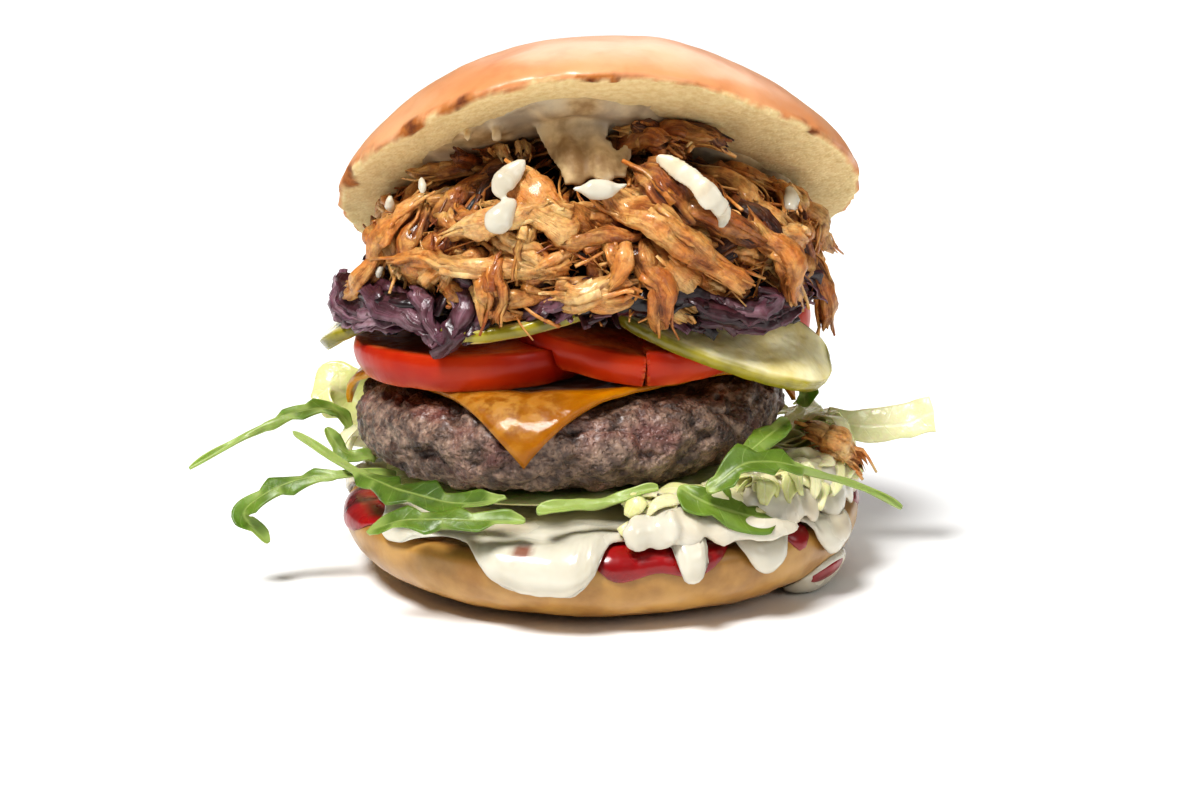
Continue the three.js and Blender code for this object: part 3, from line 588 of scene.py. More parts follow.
def cheese_finish():
    """Melted cheese, with a greasy smear and a left corner painted lighter as painted light."""
    made = Finish("cheese", "cheese", Subsurface_Weight=0.3, Subsurface_Radius=(1.0, 0.5, 0.12),
                  Subsurface_Scale=0.003, Coat_Weight=0.22, Coat_Roughness=0.1, Specular_IOR_Level=0.25)
    tree = made.tree
    body = mottled(tree, "9A5C00", "BC7A00", 60.0, 3.0)
    smear = mottled(tree, "8A5204", "B07E34", 340.0, low=0.4, high=0.6)
    # Painted light: the left corner takes a light yellow.
    lit = mixed(tree, mark(tree, "bright"), body["Colour"], hue("E49E10"))
    made.colour(mixed(tree, mark(tree, "smear"), lit, smear["Colour"]))
    made.gloss(maths(tree, "MULTIPLY_ADD", mark(tree, "smear"), 0.2, 0.32))
    made.bump(fine_relief(tree, 220.0, 3.0, 0.3), 0.6)
    return made


def tomato_finish():
    """Glossy skin round the edge, and wet flesh with paler veins where the tomato is cut."""
    made = Finish("tomato", "tomato", Subsurface_Weight=0.25, Subsurface_Radius=(1.0, 0.25, 0.12),
                  Subsurface_Scale=0.003, Coat_Weight=0.08, Coat_Roughness=0.12, Specular_IOR_Level=0.3)
    tree = made.tree
    skin = mottled(tree, "A41A02", "C43C0A", 55.0, 3.0)
    # The cut flesh is paler than the skin, and is painted lighter still as painted light on cut faces that
    # lie in shade.
    flesh = mottled(tree, "C0400E", "E07A3C", 150.0, 5.0, 0.35, 0.65)
    made.colour(mixed(tree, mark(tree, "cut"), skin["Colour"], flesh["Colour"]))
    made.gloss(maths(tree, "MULTIPLY_ADD", mark(tree, "cut"), 0.1, 0.3))
    gritty = maths(tree, "MULTIPLY_ADD", mark(tree, "cut"), 0.85, 0.15)
    made.bump(maths(tree, "MULTIPLY", fine_relief(tree, 500.0, 4.0, 0.4), gritty), 0.4)
    return made


def pickle_finish():
    """Olive skin at the edge and pale wet flesh on the faces."""
    made = Finish("pickle", "pickle", Subsurface_Weight=0.35, Subsurface_Radius=(0.9, 1.0, 0.3),
                  Subsurface_Scale=0.004, Coat_Weight=0.5, Coat_Roughness=0.08)
    tree = made.tree
    skin = mottled(tree, "726A0C", "A89A1E", 120.0)
    # The flesh is paler than the skin, and is painted lighter still as painted light on faces that lie in
    # shade under the cabbage.
    flesh = mottled(tree, "ECDA94", "FCF2C8", 140.0)
    made.colour(mixed(tree, mark(tree, "skin"), flesh["Colour"], skin["Colour"]))
    made.gloss(maths(tree, "MULTIPLY_ADD", mark(tree, "skin"), 0.1, 0.18))
    made.bump(fine_relief(tree, 360.0, 4.0, 0.5), 0.3)
    return made


def strand_finish(name, slot, tones, *, along, across, streaks, grooved, ridged, patches, stain, wet, bumps,
                  **constants):
    """Fibrous pieces: tones run from dark to light, and each piece takes its own share of them.

    along and across say how close the fibres are. streaks is their share in the tone, the groove share is
    the painted shade that darkens the grooves of the relief, and ridged is their share in the relief. patches
    is the scale of the stained spots, wet is the roughness, and bumps is the depth of the relief.
    """
    made = Finish(name, slot, **constants)
    tree = made.tree
    streak = use(tree, FIBRES, Along=along, Across=across)
    own = maths(tree, "ADD", maths(tree, "MULTIPLY", mark(tree, "kind"), 1 - streaks),
                maths(tree, "MULTIPLY", streak["Tone"], streaks))
    shades = add(tree, "ShaderNodeValToRGB", Fac=own)
    stops = shades.color_ramp.elements
    while len(stops) < len(tones):
        stops.new(0.5)
    for k, tone in enumerate(tones):
        stops[k].position = k / (len(tones) - 1)
        stops[k].color = hue(tone)
    # Painted shade: the low parts of the fibre relief take a dark tone.
    groove = maths(tree, "MULTIPLY", window(tree, streak["Height"], 0.5, 0.3), grooved)
    body = mixed(tree, groove, shades.outputs["Color"], hue(tones[1]))
    body = mixed(tree, 1.0, body, mottled(tree, WHITE, stain, patches, 3.0)["Colour"], "MULTIPLY")
    fleck = mottled(tree, "B08C78", WHITE, 620.0, 5.0, high=0.6)
    made.colour(mixed(tree, 0.5, body, fleck["Colour"], "MULTIPLY"))
    made.gloss(maths(tree, "MULTIPLY_ADD", streak["Height"], 0.15, wet))
    torn = maths(tree, "MULTIPLY", fine_relief(tree, 700.0, 4.0, 0.3), 0.8)
    made.bump(maths(tree, "MULTIPLY_ADD", streak["Height"], ridged, torn), bumps)
    return made


def pork_finish():
    return strand_finish(
        "pork", "pork", ("0C0301", "60320E", "B07638", "D6A25A", "EABE7A", "F4D094"),
        along=0.3, across=1.6, streaks=0.18, grooved=0.2, ridged=0.75, patches=150.0, stain="F0C08C",
        wet=0.42, bumps=0.65, Subsurface_Weight=0.2, Subsurface_Radius=FLESH_GLOW, Subsurface_Scale=0.002,
        Coat_Weight=0.3, Coat_Roughness=0.14)


def cabbage_finish():
    return strand_finish(
        "cabbage", "cabbage", ("060102", "280C12", "562C34", "88606A", "B497A0"),
        along=0.08, across=1.4, streaks=0.25, grooved=0.5, ridged=1.0, patches=120.0, stain="B090A0",
        wet=0.26, bumps=0.25, Subsurface_Weight=0.12, Subsurface_Radius=(0.9, 0.4, 0.8),
        Subsurface_Scale=0.002, Coat_Weight=0.35, Coat_Roughness=0.2)


def leaf_finish(name, slot, tones, vein, shine, rib):
    """A leaf with a pale midrib of a given strength and faint side veins."""
    made = Finish(name, slot, Subsurface_Weight=0.25, Subsurface_Radius=(0.5, 1.0, 0.2),
                  Subsurface_Scale=0.002, Coat_Weight=0.1, Coat_Roughness=0.3)
    tree = made.tree
    patch = mottled(tree, tones[0], tones[1], 130.0)
    body = mixed(tree, maths(tree, "MULTIPLY", mark(tree, "kind"), 0.6), patch["Colour"], hue(tones[2]))
    aside = maths(tree, "ABSOLUTE", mark(tree, "across"))
    middle = maths(tree, "MULTIPLY", maths(tree, "SUBTRACT", 1.0, window(tree, aside, 0.02, 0.14)), rib)
    slant = maths(tree, "SUBTRACT", mark(tree, "along"), maths(tree, "MULTIPLY", aside, 2.5))
    comb = maths(tree, "ABSOLUTE", maths(tree, "SINE", maths(tree, "MULTIPLY", slant, 0.7)))
    thin = maths(tree, "MULTIPLY", maths(tree, "SUBTRACT", 1.0, window(tree, comb, 0.0, 0.16)), 0.16)
    lines = maths(tree, "MAXIMUM", maths(tree, "MAXIMUM", middle, thin), mark(tree, "stem"))
    made.colour(mixed(tree, lines, body, hue(vein)))
    made.gloss(maths(tree, "MULTIPLY_ADD", patch["Mask"], 0.12, shine))
    made.bump(maths(tree, "MULTIPLY_ADD", lines, 0.8, fine_relief(tree, 520.0, 3.0)), 0.25)
    return made


BUN = bun_finish()
MAYO = sauce_finish("mayo", "mayo", "DCD6C5", "CDC6B3", thin=("96703E", "DEC292"))
KETCHUP = sauce_finish("ketchup", "ketchup", "A40A10", "7E0408", gloss=0.24, glow=0.1, rippled=0.7)
BEEF = beef_finish()
CHEESE = cheese_finish()
TOMATO = tomato_finish()
PICKLE = pickle_finish()
CABBAGE = cabbage_finish()
PORK = pork_finish()
ROCKET = leaf_finish("rocket", "rocket", ("3E5614", "667F28", "88A03C"), "A8B868", 0.38, 0.5)
LETTUCE = leaf_finish("lettuce", "lettuce", ("C6C67A", "E0DCA4", "EFEBCB"), "F0ECD0", 0.22, 0.3)


# Buns

HEEL = Outline(
    (0, HEEL_HEIGHT), (HEEL_FLAT, HEEL_HEIGHT),
    bend((HEEL_FLAT, HEEL_HEIGHT), (BUN_RADIUS, HEEL_HEIGHT), (BUN_RADIUS, HEEL_HEIGHT - HEEL_LIP)),
    bend((BUN_RADIUS, HEEL_HEIGHT - HEEL_LIP), (BUN_RADIUS, 5.5), (0.84 * BUN_RADIUS, 0),
         (HEEL_FOOT_RADIUS, 0)),
    (0, 0))
CROWN_EDGE = 0.98 * BUN_RADIUS
CROWN = Outline(
    (0, 0), (CROWN_EDGE, 0), bend((CROWN_EDGE, 0), (BUN_RADIUS, 0.2), (BUN_RADIUS - 0.2, 1.5)),
    bend((BUN_RADIUS - 0.2, 1.5), (BUN_RADIUS - 2.5, 8), (0.66 * BUN_RADIUS, CROWN_HEIGHT), (0, CROWN_HEIGHT),
         steps=40))
# Where the cut edge of the crown is scorched: degrees from the right, spread in degrees, width in millimetres
SCORCHES = ((-131, 7, 2.2), (-119, 5, 1.5), (-161, 5, 2.4), (-38, 1.2, 1.0), (-90, 5, 0.8))


def bottom_bun():
    foot = HEEL.length - HEEL_FOOT_RADIUS
    runs = np.concatenate([np.linspace(0, HEEL_FLAT - 8, 8)[:-1], np.linspace(HEEL_FLAT - 8, foot, 62),
                           np.linspace(foot, HEEL.length, 6)[1:]])[::-1]
    grid = unround(turned(HEEL.at(runs), 240))
    swell = 0.5 * rough(grid, 16, 3) + 0.1 * rough(grid, 3, 4)
    grid = grid + normals_of(grid) * (swell * ramp(grid[..., 2], 0.2, 3))[..., None]
    walked = np.broadcast_to(runs[:, None], swell.shape)
    edge = walked - HEEL_FLAT - 0.8 * grain(grid, 3, 5)
    pile = Pile()
    # The whole bottom bun takes the heel colour, which holds painted shade.
    pile.add(grid, [grid_faces(*grid.shape[:2], closed=True)], crumb=ramp(-edge, -0.4, 0.4),
             toast=0.6 * np.exp(-(edge / 1.2) ** 2), pale=0.95 + 0 * edge)
    return pile.piece("bottom_bun", BUN, ["bun_bottom"], weld=True)


def arch_at(x):
    """How far the cut face of the crown is from flat, which falls off to both sides."""
    return CROWN_ARCH["rise"] - CROWN_ARCH["fall"] * ramp(np.abs(x), CROWN_ARCH["from"], CROWN_ARCH["to"])


def top_bun():
    cut = CROWN_EDGE * np.linspace(0, 1, 64) ** 0.8
    crust = np.linspace(CROWN_EDGE, CROWN.length, 60)[1:]
    runs = np.concatenate([cut, crust])
    grid = unround(turned(CROWN.at(runs), 360))
    grid[..., 2] += (1 - grid[..., 2] / CROWN_HEIGHT) * arch_at(grid[..., 0])
    walked = np.broadcast_to(runs[:, None], grid.shape[:2])
    angles = np.degrees(np.arctan2(grid[..., 1], grid[..., 0]))
    edge = walked - CROWN_EDGE - 0.9 - 0.9 * rough(grid, 5, 8)
    inside = ramp(-edge, -0.3, 0.5)
    away, own = crumbs(grid, 1.5, 11)
    pores = ramp(own, 0.5, 0.95) * ramp(0.45 - away, 0, 0.3)
    tears = np.exp(-(edge / 1.4) ** 2)
    swell = (1 - inside) * (0.5 * rough(grid, 22, 2) + 0.05 * rough(grid, 4, 3))
    swell = swell + inside * (0.4 * rough(grid, 9, 6) - 0.16 * pores) + tears * 0.6 * rough(grid, 3.2, 9)
    grid = grid + normals_of(grid) * swell[..., None]
    burnt = sum(np.exp(-((angles - at) / wide) ** 2 - (edge / deep) ** 2) for at, wide, deep in SCORCHES)
    burnt = ramp(burnt * (1 + 0.9 * grain(grid, 4.5, 15)), 0.2, 0.75)
    toast = np.exp(-((edge - 0.35) / 0.5) ** 2) * (0.42 + 0.4 * grain(grid, 6, 13)) + burnt
    pile = Pile()
    pile.add(set_down(grid, *CROWN_FRAME), [grid_faces(*grid.shape[:2], closed=True)], crumb=inside,
             toast=np.clip(toast, 0, 1), pale=np.zeros_like(inside))
    return pile.piece("top_bun", BUN, ["bun_top"], weld=True)


# Sauces

def fused(pile, voxel, smoothing=4):
    """The spots and faces of a pile once its bits have run together."""
    mesh = bpy.data.meshes.new("fusing")
    mesh.from_pydata((np.vstack(pile.spots) * MM).tolist(), [], list(itertools.chain(*pile.faces)))
    made = bpy.data.objects.new("fusing", mesh)
    bpy.context.scene.collection.objects.link(made)
    remesh = made.modifiers.new("join", "REMESH")
    remesh.mode = "VOXEL"
    remesh.voxel_size = voxel * MM
    soften = made.modifiers.new("soften", "SMOOTH")
    soften.factor = 0.5
    soften.iterations = smoothing
    result = made.evaluated_get(bpy.context.evaluated_depsgraph_get()).to_mesh()
    spots = np.empty(3 * len(result.vertices))
    result.vertices.foreach_get("co", spots)
    corners = np.empty(4 * len(result.polygons), np.int64)
    result.polygons.foreach_get("vertices", corners)
    bpy.data.objects.remove(made)
    bpy.data.meshes.remove(mesh)
    return spots.reshape(-1, 3) / MM, [corners.reshape(-1, 4)]


def humps(turns, drips, blunt=2):
    """Extra reach at turns in degrees, from drips of (turn, spread, reach). Blunt drips have rounder ends."""
    total = 0
    for at, spread, drop in drips:
        away = np.abs((turns - at + 180) % 360 - 180) / spread
        total = total + drop * np.exp(-away ** blunt)
    return total


# Sauces on the bottom bun: how far they reach along its section, and their drips of (turn, spread, reach)
KETCHUP_REACH = 49
KETCHUP_DRIPS = ((-72, 20, 11), (3, 9, 10.5), (21, 11, 11.5), (48, 6, 10), (88, 13, 10.5), (143, 17, 10),
                 (-140, 18, 11))
MAYO_REACH = 52
MAYO_RUNS = ((-48, 10, 5), (-15, 13, 11.5), (-4, 5, 4), (37, 7, 10),
             (60, 9, 9.5), (115, 12, 8), (172, 11, 10), (-106, 13, 9))
MAYO_DRIP = ((19, 4.2, 9),)
# A stain of meat juice on the mayonnaise: its middle and its reach
JUICE = ((-16.2, -55.5, 18.4), 2.7)


def bead(share):
    """How the depth of a poured layer falls off to its rounded edge."""
    return np.sqrt(np.maximum(0, 1 - np.minimum(1, share) ** 10))


def poured(reach, lift, depth, around, steps):
    """A layer on the bottom bun: rows from its middle to its hanging edge, for both of its faces."""
    turns = np.linspace(0, 360, around, endpoint=False)
    angles = np.radians(turns - 90)
    end = reach(turns)
    inner, outer = np.linspace(0.02, 0.7, 8)[:-1], 0.7 + 0.3 * np.sin(np.linspace(0, math.pi / 2, steps))
    runs = np.concatenate([inner, outer])[:, None] * end
    faces = []
    for height in (lift(turns, runs), lift(turns, runs) + depth(turns, runs, end)):
        radius, level = HEEL.off(runs, height)
        faces.append(polar(radius, angles, level))
    return unround(np.concatenate([faces[0], faces[1][::-1]]))


def ketchup_reach(turns):
    return KETCHUP_REACH + humps(turns, KETCHUP_DRIPS) + 0.5 * np.sin(np.radians(9 * turns))


def ketchup_layer():
    grid = poured(ketchup_reach, lambda turns, runs: 0.15 + 0 * runs,
                  lambda turns, runs, end: KETCHUP_THICKNESS * bead(runs / end) + 0.2, 220, 18)
    grid = grid + normals_of(grid) * (0.25 * rough(grid, 8, 21))[..., None]
    pile = Pile()
    pile.add(grid, [grid_faces(*grid.shape[:2], closed=True)])
    return pile.piece("ketchup_layer", KETCHUP, ["ketchup"])


def mayo_reach(turns):
    hanging = humps(turns, MAYO_RUNS, 2.5) + humps(turns, MAYO_DRIP, 3)
    return MAYO_REACH + hanging + 0.7 * np.sin(np.radians(7 * turns + 40))


def mayo_layer():
    def lift(turns, runs):
        over = KETCHUP_THICKNESS * bead(runs / (ketchup_reach(turns) + 2.5))
        return 0.3 + over + ramp(runs, HEEL_FLAT - 5, HEEL_FLAT - 1)

    def depth(turns, runs, end):
        hanging = ramp(end, MAYO_REACH + 3, MAYO_REACH + 9)
        drop = 1.3 * hanging * np.exp(-((end - runs - 2.5) / 3) ** 2)
        return (MAYO_THICKNESS - 0.5 + drop) * bead(runs / end) + 0.15

    grid = poured(mayo_reach, lift, depth, 360, 28)
    folds = 0.55 * rough(grid, 9, 31) + 0.25 * grain(grid * (1, 1, 0.4), 4, 33)
    grid = grid + normals_of(grid) * folds[..., None]
    thin = 0.8 * ramp(grain(grid, 12, 35), 0.3, 0.8) * ramp(grid[..., 2], 8, 12)
    away = np.linalg.norm(grid - np.array(JUICE[0]), axis=-1) / JUICE[1]
    juice = ramp(np.exp(-away ** 2) + 0.25 * grain(grid, 1.5, 36), 0.3, 0.75)
    pile = Pile()
    pile.add(grid, [grid_faces(*grid.shape[:2], closed=True)], thin=0.35 * thin, juice=juice)
    return pile.piece("mayo_layer", MAYO, ["mayo_bottom"])


# The smear on the cut face: back and front are where its drips leave the face and where they hang
SMEAR = {"reach": 43, "thickness": 1.9, "back": -36, "front": -38.5}
# Strands that run together as a film below it: place across at the face and at the pork, half widths there
FILM = ((-12, -6.5, 1.5, 2.0), (-8.5, -4.5, 2.2, 2.2), (-4.5, -2.5, 2.4, 2.3), (-1.5, 0.5, 1.9, 2.3),
        (1.5, 2.5, 0.7, 2.2), (8, 4.5, 0.9, 1.8))
FILM_FALL = 14.5
# Short drips of the smear: place across, half width, fall
SMEAR_DRIPS = ((-21, 1.1, 4.5), (-27, 0.8, 3))


def rounded(pile, points, sizes, flat, facing, steps=26, sides=16):
    """A soft run of sauce along a curve, with half widths spread along it. flat is thickness by width."""
    u = np.linspace(0, 1, steps)
    ends = np.sqrt(np.maximum(0.02, 1 - (2 * u - 1) ** 8))
    half = np.interp(u, np.linspace(0, 1, len(sizes)), sizes) * ends
    pile.add(*tube(curve_through(points, steps), half, flat * half, facing, sides))


def smear_sheet():
    """Both faces of the mayonnaise on the crown, which leaves the right of the front bare."""
    angles = np.linspace(0, 2 * math.pi, 220, endpoint=False)
    bare = 9 * np.exp(-((angles - 5.6) / 0.4) ** 2)
    reach = SMEAR["reach"] + 2.2 * np.sin(3 * angles + 1) + 1.4 * np.sin(7 * angles) - bare
    share = np.linspace(0.01, 1.06, 60)[:, None]
    lower = polar(share * reach, angles, 0.0)
    edge = ramp(1.03 + 0.06 * rough(lower, 7, 44) - share, 0, 0.12)
    uneven = 0.75 + 0.4 * rough(lower * (0.5, 1, 1), 6, 41) + 0.15 * rough(lower, 2.4, 43)
    upper, roof = lower.copy(), arch_at(lower[..., 0])
    lower[..., 2] = roof - 0.5 - SMEAR["thickness"] * (edge * uneven - 0.3)
    upper[..., 2] = roof + 1.2
    return np.concatenate([upper, lower[::-1]])[::-1]


def mayo_smear():
    """Mayonnaise on the cut face of the crown, with a film that hangs down to the pork."""
    grid = smear_sheet()
    pile = Pile()
    pile.add(grid, [grid_faces(*grid.shape[:2], closed=True)])
    back, front, facing = SMEAR["back"], SMEAR["front"], (0, -1, 0.01)
    for across, half, fall in SMEAR_DRIPS:
        roof = arch_at(across)
        points = ((across, back, roof + 0.3), (across, front, roof - 0.5 * fall),
                  (across, front, roof - fall))
        rounded(pile, points, (1.8 * half, half, 1.2 * half), 0.8, facing)
    for k, (top, end, wide, low) in enumerate(FILM):
        fall = FILM_FALL * between(0.85, 1.1, k, 46)
        points = ((top, back, arch_at(top) + 0.6),
                  (0.6 * top + 0.4 * end, back - 1 + between(-1, 1, k, 47), -0.3 * fall),
                  (end, front + between(-0.8, 0.8, k, 48), -0.7 * fall), (end, front, -fall))
        rounded(pile, points, (1.5 * wide, wide, low, 0.8 * low), 0.42, facing)
    spots, faces = fused(pile, 0.66, 3)
    hanging = ramp(arch_at(spots[:, 0]) - 3.2 - spots[:, 2], 0, 2.5)
    thin = np.clip(0.75 + 0.45 * grain(spots, 6, 45) + 0.2 * hanging, 0, 0.95)
    spots[:, 1] += hanging * (0.7 * rough(spots * (1, 0, 0.5), 3.2, 50) + 0.5 * grain(spots, 6, 51))
    made = Pile()
    made.add(set_down(spots, *CROWN_FRAME), faces, thin=thin)
    return made.piece("mayo_smear", MAYO, ["mayo_top"])


# Patty and cheese

PATTY_FLAT = PATTY_RADIUS - 10
PATTY_BELLY = 0.52 * PATTY_HEIGHT
PATTY = Outline(
    (0, PATTY_HEIGHT), (PATTY_FLAT, PATTY_HEIGHT),
    bend((PATTY_FLAT, PATTY_HEIGHT), (PATTY_RADIUS - 2, PATTY_HEIGHT), (PATTY_RADIUS, 0.7 * PATTY_HEIGHT),
         (PATTY_RADIUS, PATTY_BELLY)),
    bend((PATTY_RADIUS, PATTY_BELLY), (PATTY_RADIUS, 0.25 * PATTY_HEIGHT), (PATTY_RADIUS - 5, 0),
         (PATTY_RADIUS - 12, 0)),
    (0, 0))


def beef_patty():
    flat = PATTY_RADIUS - 13
    runs = np.concatenate([np.linspace(0, flat, 9)[:-1], np.linspace(flat, PATTY.length - flat, 88),
                           np.linspace(PATTY.length - flat, PATTY.length, 9)[1:]])[::-1]
    grid = turned(PATTY.at(runs), 380)
    out = normals_of(grid)
    angles = np.arctan2(grid[..., 1], grid[..., 0])
    tall = grid[..., 2]
    waves = 0.5 + 0.25 * np.sin(9 * angles + 0.5 * tall) + 0.25 * np.sin(23 * angles - 0.9 * tall)
    coarse, _ = crumbs(grid + 0.8 * grain(grid, 3, 51)[..., None], 4.6, 52)
    fine, _ = crumbs(grid, 1.9, 54)
    crack = ramp(coarse + 0.2 * rough(grid, 7, 55), 0.74, 0.98)
    sink = 0.9 * waves + 0.9 * coarse ** 2 + 0.55 * fine ** 2 + 0.9 * crack + 0.3 * rough(grid, 1.4, 56)
    sink = sink + 0.8 * rough(grid, 9, 57)
    grid = grid - out * np.clip(sink, -0.2, 4)[..., None]
    pile = Pile()
    # The crevices between the crumbs sink in and are marked for painted shade.
    pile.add(set_down(grid, *PATTY_FRAME), [grid_faces(*grid.shape[:2], closed=True)],
             crack=np.clip(0.55 * crack + 0.25 * ramp(fine, 0.6, 0.95), 0, 1))
    return pile.piece("beef_patty", BEEF, ["patty"], weld=True)


def cheese_slice():
    cells = np.linspace(-1, 1, 65)
    across, along = np.meshgrid(cells, cells, indexing="ij")
    pull = (CHEESE_SIDE / 2) * (1 - CHEESE_CORNER_PULL * (across * along) ** 2)
    turn = math.radians(45) + CHEESE_TURN
    aside, ahead = pull * across - CHEESE_SLIP, pull * along - CHEESE_SLIP
    x = aside * math.cos(turn) - ahead * math.sin(turn)
    y = aside * math.sin(turn) + ahead * math.cos(turn)
    run, angle = np.hypot(x, y), np.arctan2(y, x)
    rim = np.maximum(np.abs(across), np.abs(along))
    flat = np.stack([x, y, 0 * x], axis=-1)
    lift = GAP + CHEESE_RIM_LIFT * ramp(run, PATTY_RADIUS - 18, PATTY_RADIUS - 6) + 0.5 * CHEESE_THICKNESS
    lift = lift + 0.25 * rough(flat, 11, 61) + 0.2 * grain(flat, 4, 63)
    radius, level = PATTY.off(run, lift)
    middle = polar(radius, angle, level)
    slope = PATTY.along(run)
    up = polar(-slope[..., 1], angle, slope[..., 0])
    thickness = CHEESE_THICKNESS * (1 + 0.5 * np.exp(-((1 - rim) / 0.05) ** 2) - 0.75 * ramp(rim, 0.975, 1.0))
    spots, faces = two_sided(middle, up, thickness)
    smear = ramp(-across, 0.5, 0.72) * ramp(along, -0.98, -0.86) * ramp(-along, 0.05, 0.35)
    smear = np.clip(smear * (0.75 + 0.7 * grain(flat, 3, 62)), 0, 1)
    pile = Pile()
    # The left corner is marked for painted light.
    pile.add(set_down(spots, *PATTY_FRAME), faces, smear=both_faces(smear),
             bright=both_faces(ramp(-x, 34, 44)))
    return pile.piece("cheese_slice", CHEESE, ["cheese"])


# Tomato

TOMATO_OUTLINE = Outline(
    (0, 0), (TOMATO_RADIUS - 2, 0),
    bend((TOMATO_RADIUS - 2, 0), (TOMATO_RADIUS + 0.8, 0.55 * TOMATO_THICKNESS),
         (TOMATO_RADIUS - 1, TOMATO_THICKNESS), steps=24),
    (0, TOMATO_THICKNESS))
# tilt is in degrees about X, Y and Z
TOMATOES = (
    {"node": "tomato_left", "tilt": (1.5, -2, 0)},
    {"node": "tomato_right", "tilt": (2, -2.5, 4), "half": 1, "scale": (0.85, 1, 1), "taper": TOMATO_TAPER},
    {"node": "tomato_back", "tilt": (0, -2.7, 0), "scale": (0.7, 0.7, 0.95)},
    {"node": "tomato_bit", "tilt": (0, -2.7, 0), "scale": (0.36, 0.36, 0.9)},
    {"node": "tomato_middle", "tilt": (2, 8, 4), "half": -1, "scale": (1, 1, 0.85),
     "rests_on": "tomato_left"},
)


def node_box(node):
    """The low and high corners of a solid, in millimetres."""
    return [np.array(corner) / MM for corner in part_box(node)]


def moved_to(spots, node, share=0.5):
    """Spots shifted until their box meets the node's at its middle, or at its far corner for a share of 1."""
    low, high = node_box(node)
    own_low, own_high = spots.min(axis=0), spots.max(axis=0)
    return spots + (1 - share) * (low - own_low) + share * (high - own_high)


def above(spots, node, slope):
    """Raises spots inside a slice to its upper face, which rises by a slope to the right and to the back."""
    low, high = node_box(node)
    away = spots[:, :2] - (low + high)[:2] / 2
    top = high[2] - TOMATO_RADIUS * math.hypot(*slope) + away @ np.array(slope)
    inside = np.hypot(away[:, 0], away[:, 1]) < TOMATO_RADIUS + 0.6
    raised = spots.copy()
    raised[:, 2] = np.where(inside, np.maximum(spots[:, 2], top + GAP), spots[:, 2])
    return raised


def tomato_slice(node, tilt, half=0, scale=(1, 1, 1), taper=0, rests_on=None):
    """A slice, or a half of one: half is 1 for the right half, -1 for the left and 0 for a whole slice."""
    face, around = TOMATO_RADIUS - 2, 101
    rim = TOMATO_OUTLINE.length - face - 1
    runs = np.concatenate([np.linspace(0, face, 12), np.linspace(face, rim, 20)[1:],
                           np.linspace(rim, TOMATO_OUTLINE.length, 12)[1:]])
    section = TOMATO_OUTLINE.at(runs)
    cut = np.broadcast_to(1 - ramp(section[:, :1], face - 0.6, face + 1.2), (len(runs), around))
    start, sweep = (math.pi / 2 if half < 0 else -math.pi / 2), (math.pi if half else 2 * math.pi)
    angles = np.linspace(0, sweep, around) + start
    bits = [(polar(section[:, :1], angles, section[:, 1:]), cut)]
    if half:
        share = np.linspace(-1, 1, 61)
        wide = section[:, :1] * share * -half
        wall = np.stack([0 * wide, wide, section[:, 1:] + 0 * share], axis=-1)[11:-11]
        bits.append((wall, np.ones(wall.shape[:2])))
    pile = Pile()
    for spots, fleshy in bits:
        uneven = spots + 0.3 * wander(spots, 9, 71, noise=rough)
        uneven[..., 2] *= 1 - taper * np.maximum(0, spots[..., 0]) / TOMATO_RADIUS
        uneven[..., 0] -= 2.8 * taper * (1 - ramp(spots[..., 0], 0, 9))
        uneven = set_down(uneven * scale, (0, 0, 0), turning(*map(math.radians, tilt)))
        pile.add(uneven, [grid_faces(*uneven.shape[:2])], cut=fleshy)
    every = moved_to(np.vstack(pile.spots), node, 1.0 if rests_on else 0.5)
    if rests_on:
        every = above(every, rests_on, (math.tan(math.radians(2)), math.tan(math.radians(1.5))))
    pile.spots = np.split(every, np.cumsum([len(spots) for spots in pile.spots])[:-1])
    return pile.piece(node + "_slice", TOMATO, [node], weld=True)


# Pickles

PICKLES = (
    {"node": "pickle_left", "twist": 0,
     "points": ((-61, -7, 50.5), (-55.5, -7, 55), (-45, -6, 58.8), (-26, -5, 59))},
    {"node": "pickle_centre", "twist": 0,
     "points": ((-34, -33, 57.5), (-23, -34, 58.5), (-10, -33, 61.5), (1, -30, 64.5))},
    {"node": "pickle_right", "twist": 1,
     "points": ((2.5, -29, 64.5), (17, -31.5, 61.5), (34, -30, 57), (49, -22, 51))},
)


def strip_grid(points, width, facing, along, across, wave=None):
    """A flat strip along a curve: its middle spots, upward directions, shares u and v, and length."""
    spine = curve_through(points, along)
    side, up = sides_of(spine, facing)
    u, v = np.meshgrid(np.linspace(0, 1, along), np.linspace(0, 1, across), indexing="ij")
    out = (v - 0.5) * width(u, v)
    middle = spine[:, None] + side[:, None] * out[..., None]
    if wave is not None:
        middle = middle + up[:, None] * wave(u, v)[..., None]
    return middle, np.broadcast_to(up[:, None], middle.shape), u, v, length_of(spine)


def pickle_slice(node, points, twist):
    """A long slice, which turns its face to the front along its length where it is twisted."""
    def oval(u, v):
        return PICKLE_WIDTH * np.maximum(0.12, np.sqrt(np.maximum(0, 1 - np.abs(2 * u - 1) ** 3.2)))

    steps = 64
    facing = np.stack([np.zeros(steps), -twist * np.linspace(0, 1, steps), np.ones(steps)], axis=-1)
    middle, up, u, v, _ = strip_grid(points, oval, facing, steps, 29)
    rim = np.maximum(np.abs(2 * v - 1), np.abs(2 * u - 1) ** 1.5)
    middle = middle + up * (0.35 * rough(middle, 9, 81))[..., None]
    thickness = PICKLE_THICKNESS * (0.55 + 0.45 * np.sqrt(np.maximum(0, 1 - rim ** 8)))
    spots, faces = two_sided(middle, up, thickness)
    skin = ramp(rim + 0.03 * grain(middle, 3, 82), 0.86, 0.97)
    pile = Pile()
    pile.add(moved_to(spots, node), faces, skin=both_faces(skin))
    return pile.piece(node + "_slice", PICKLE, [node])


# Cabbage

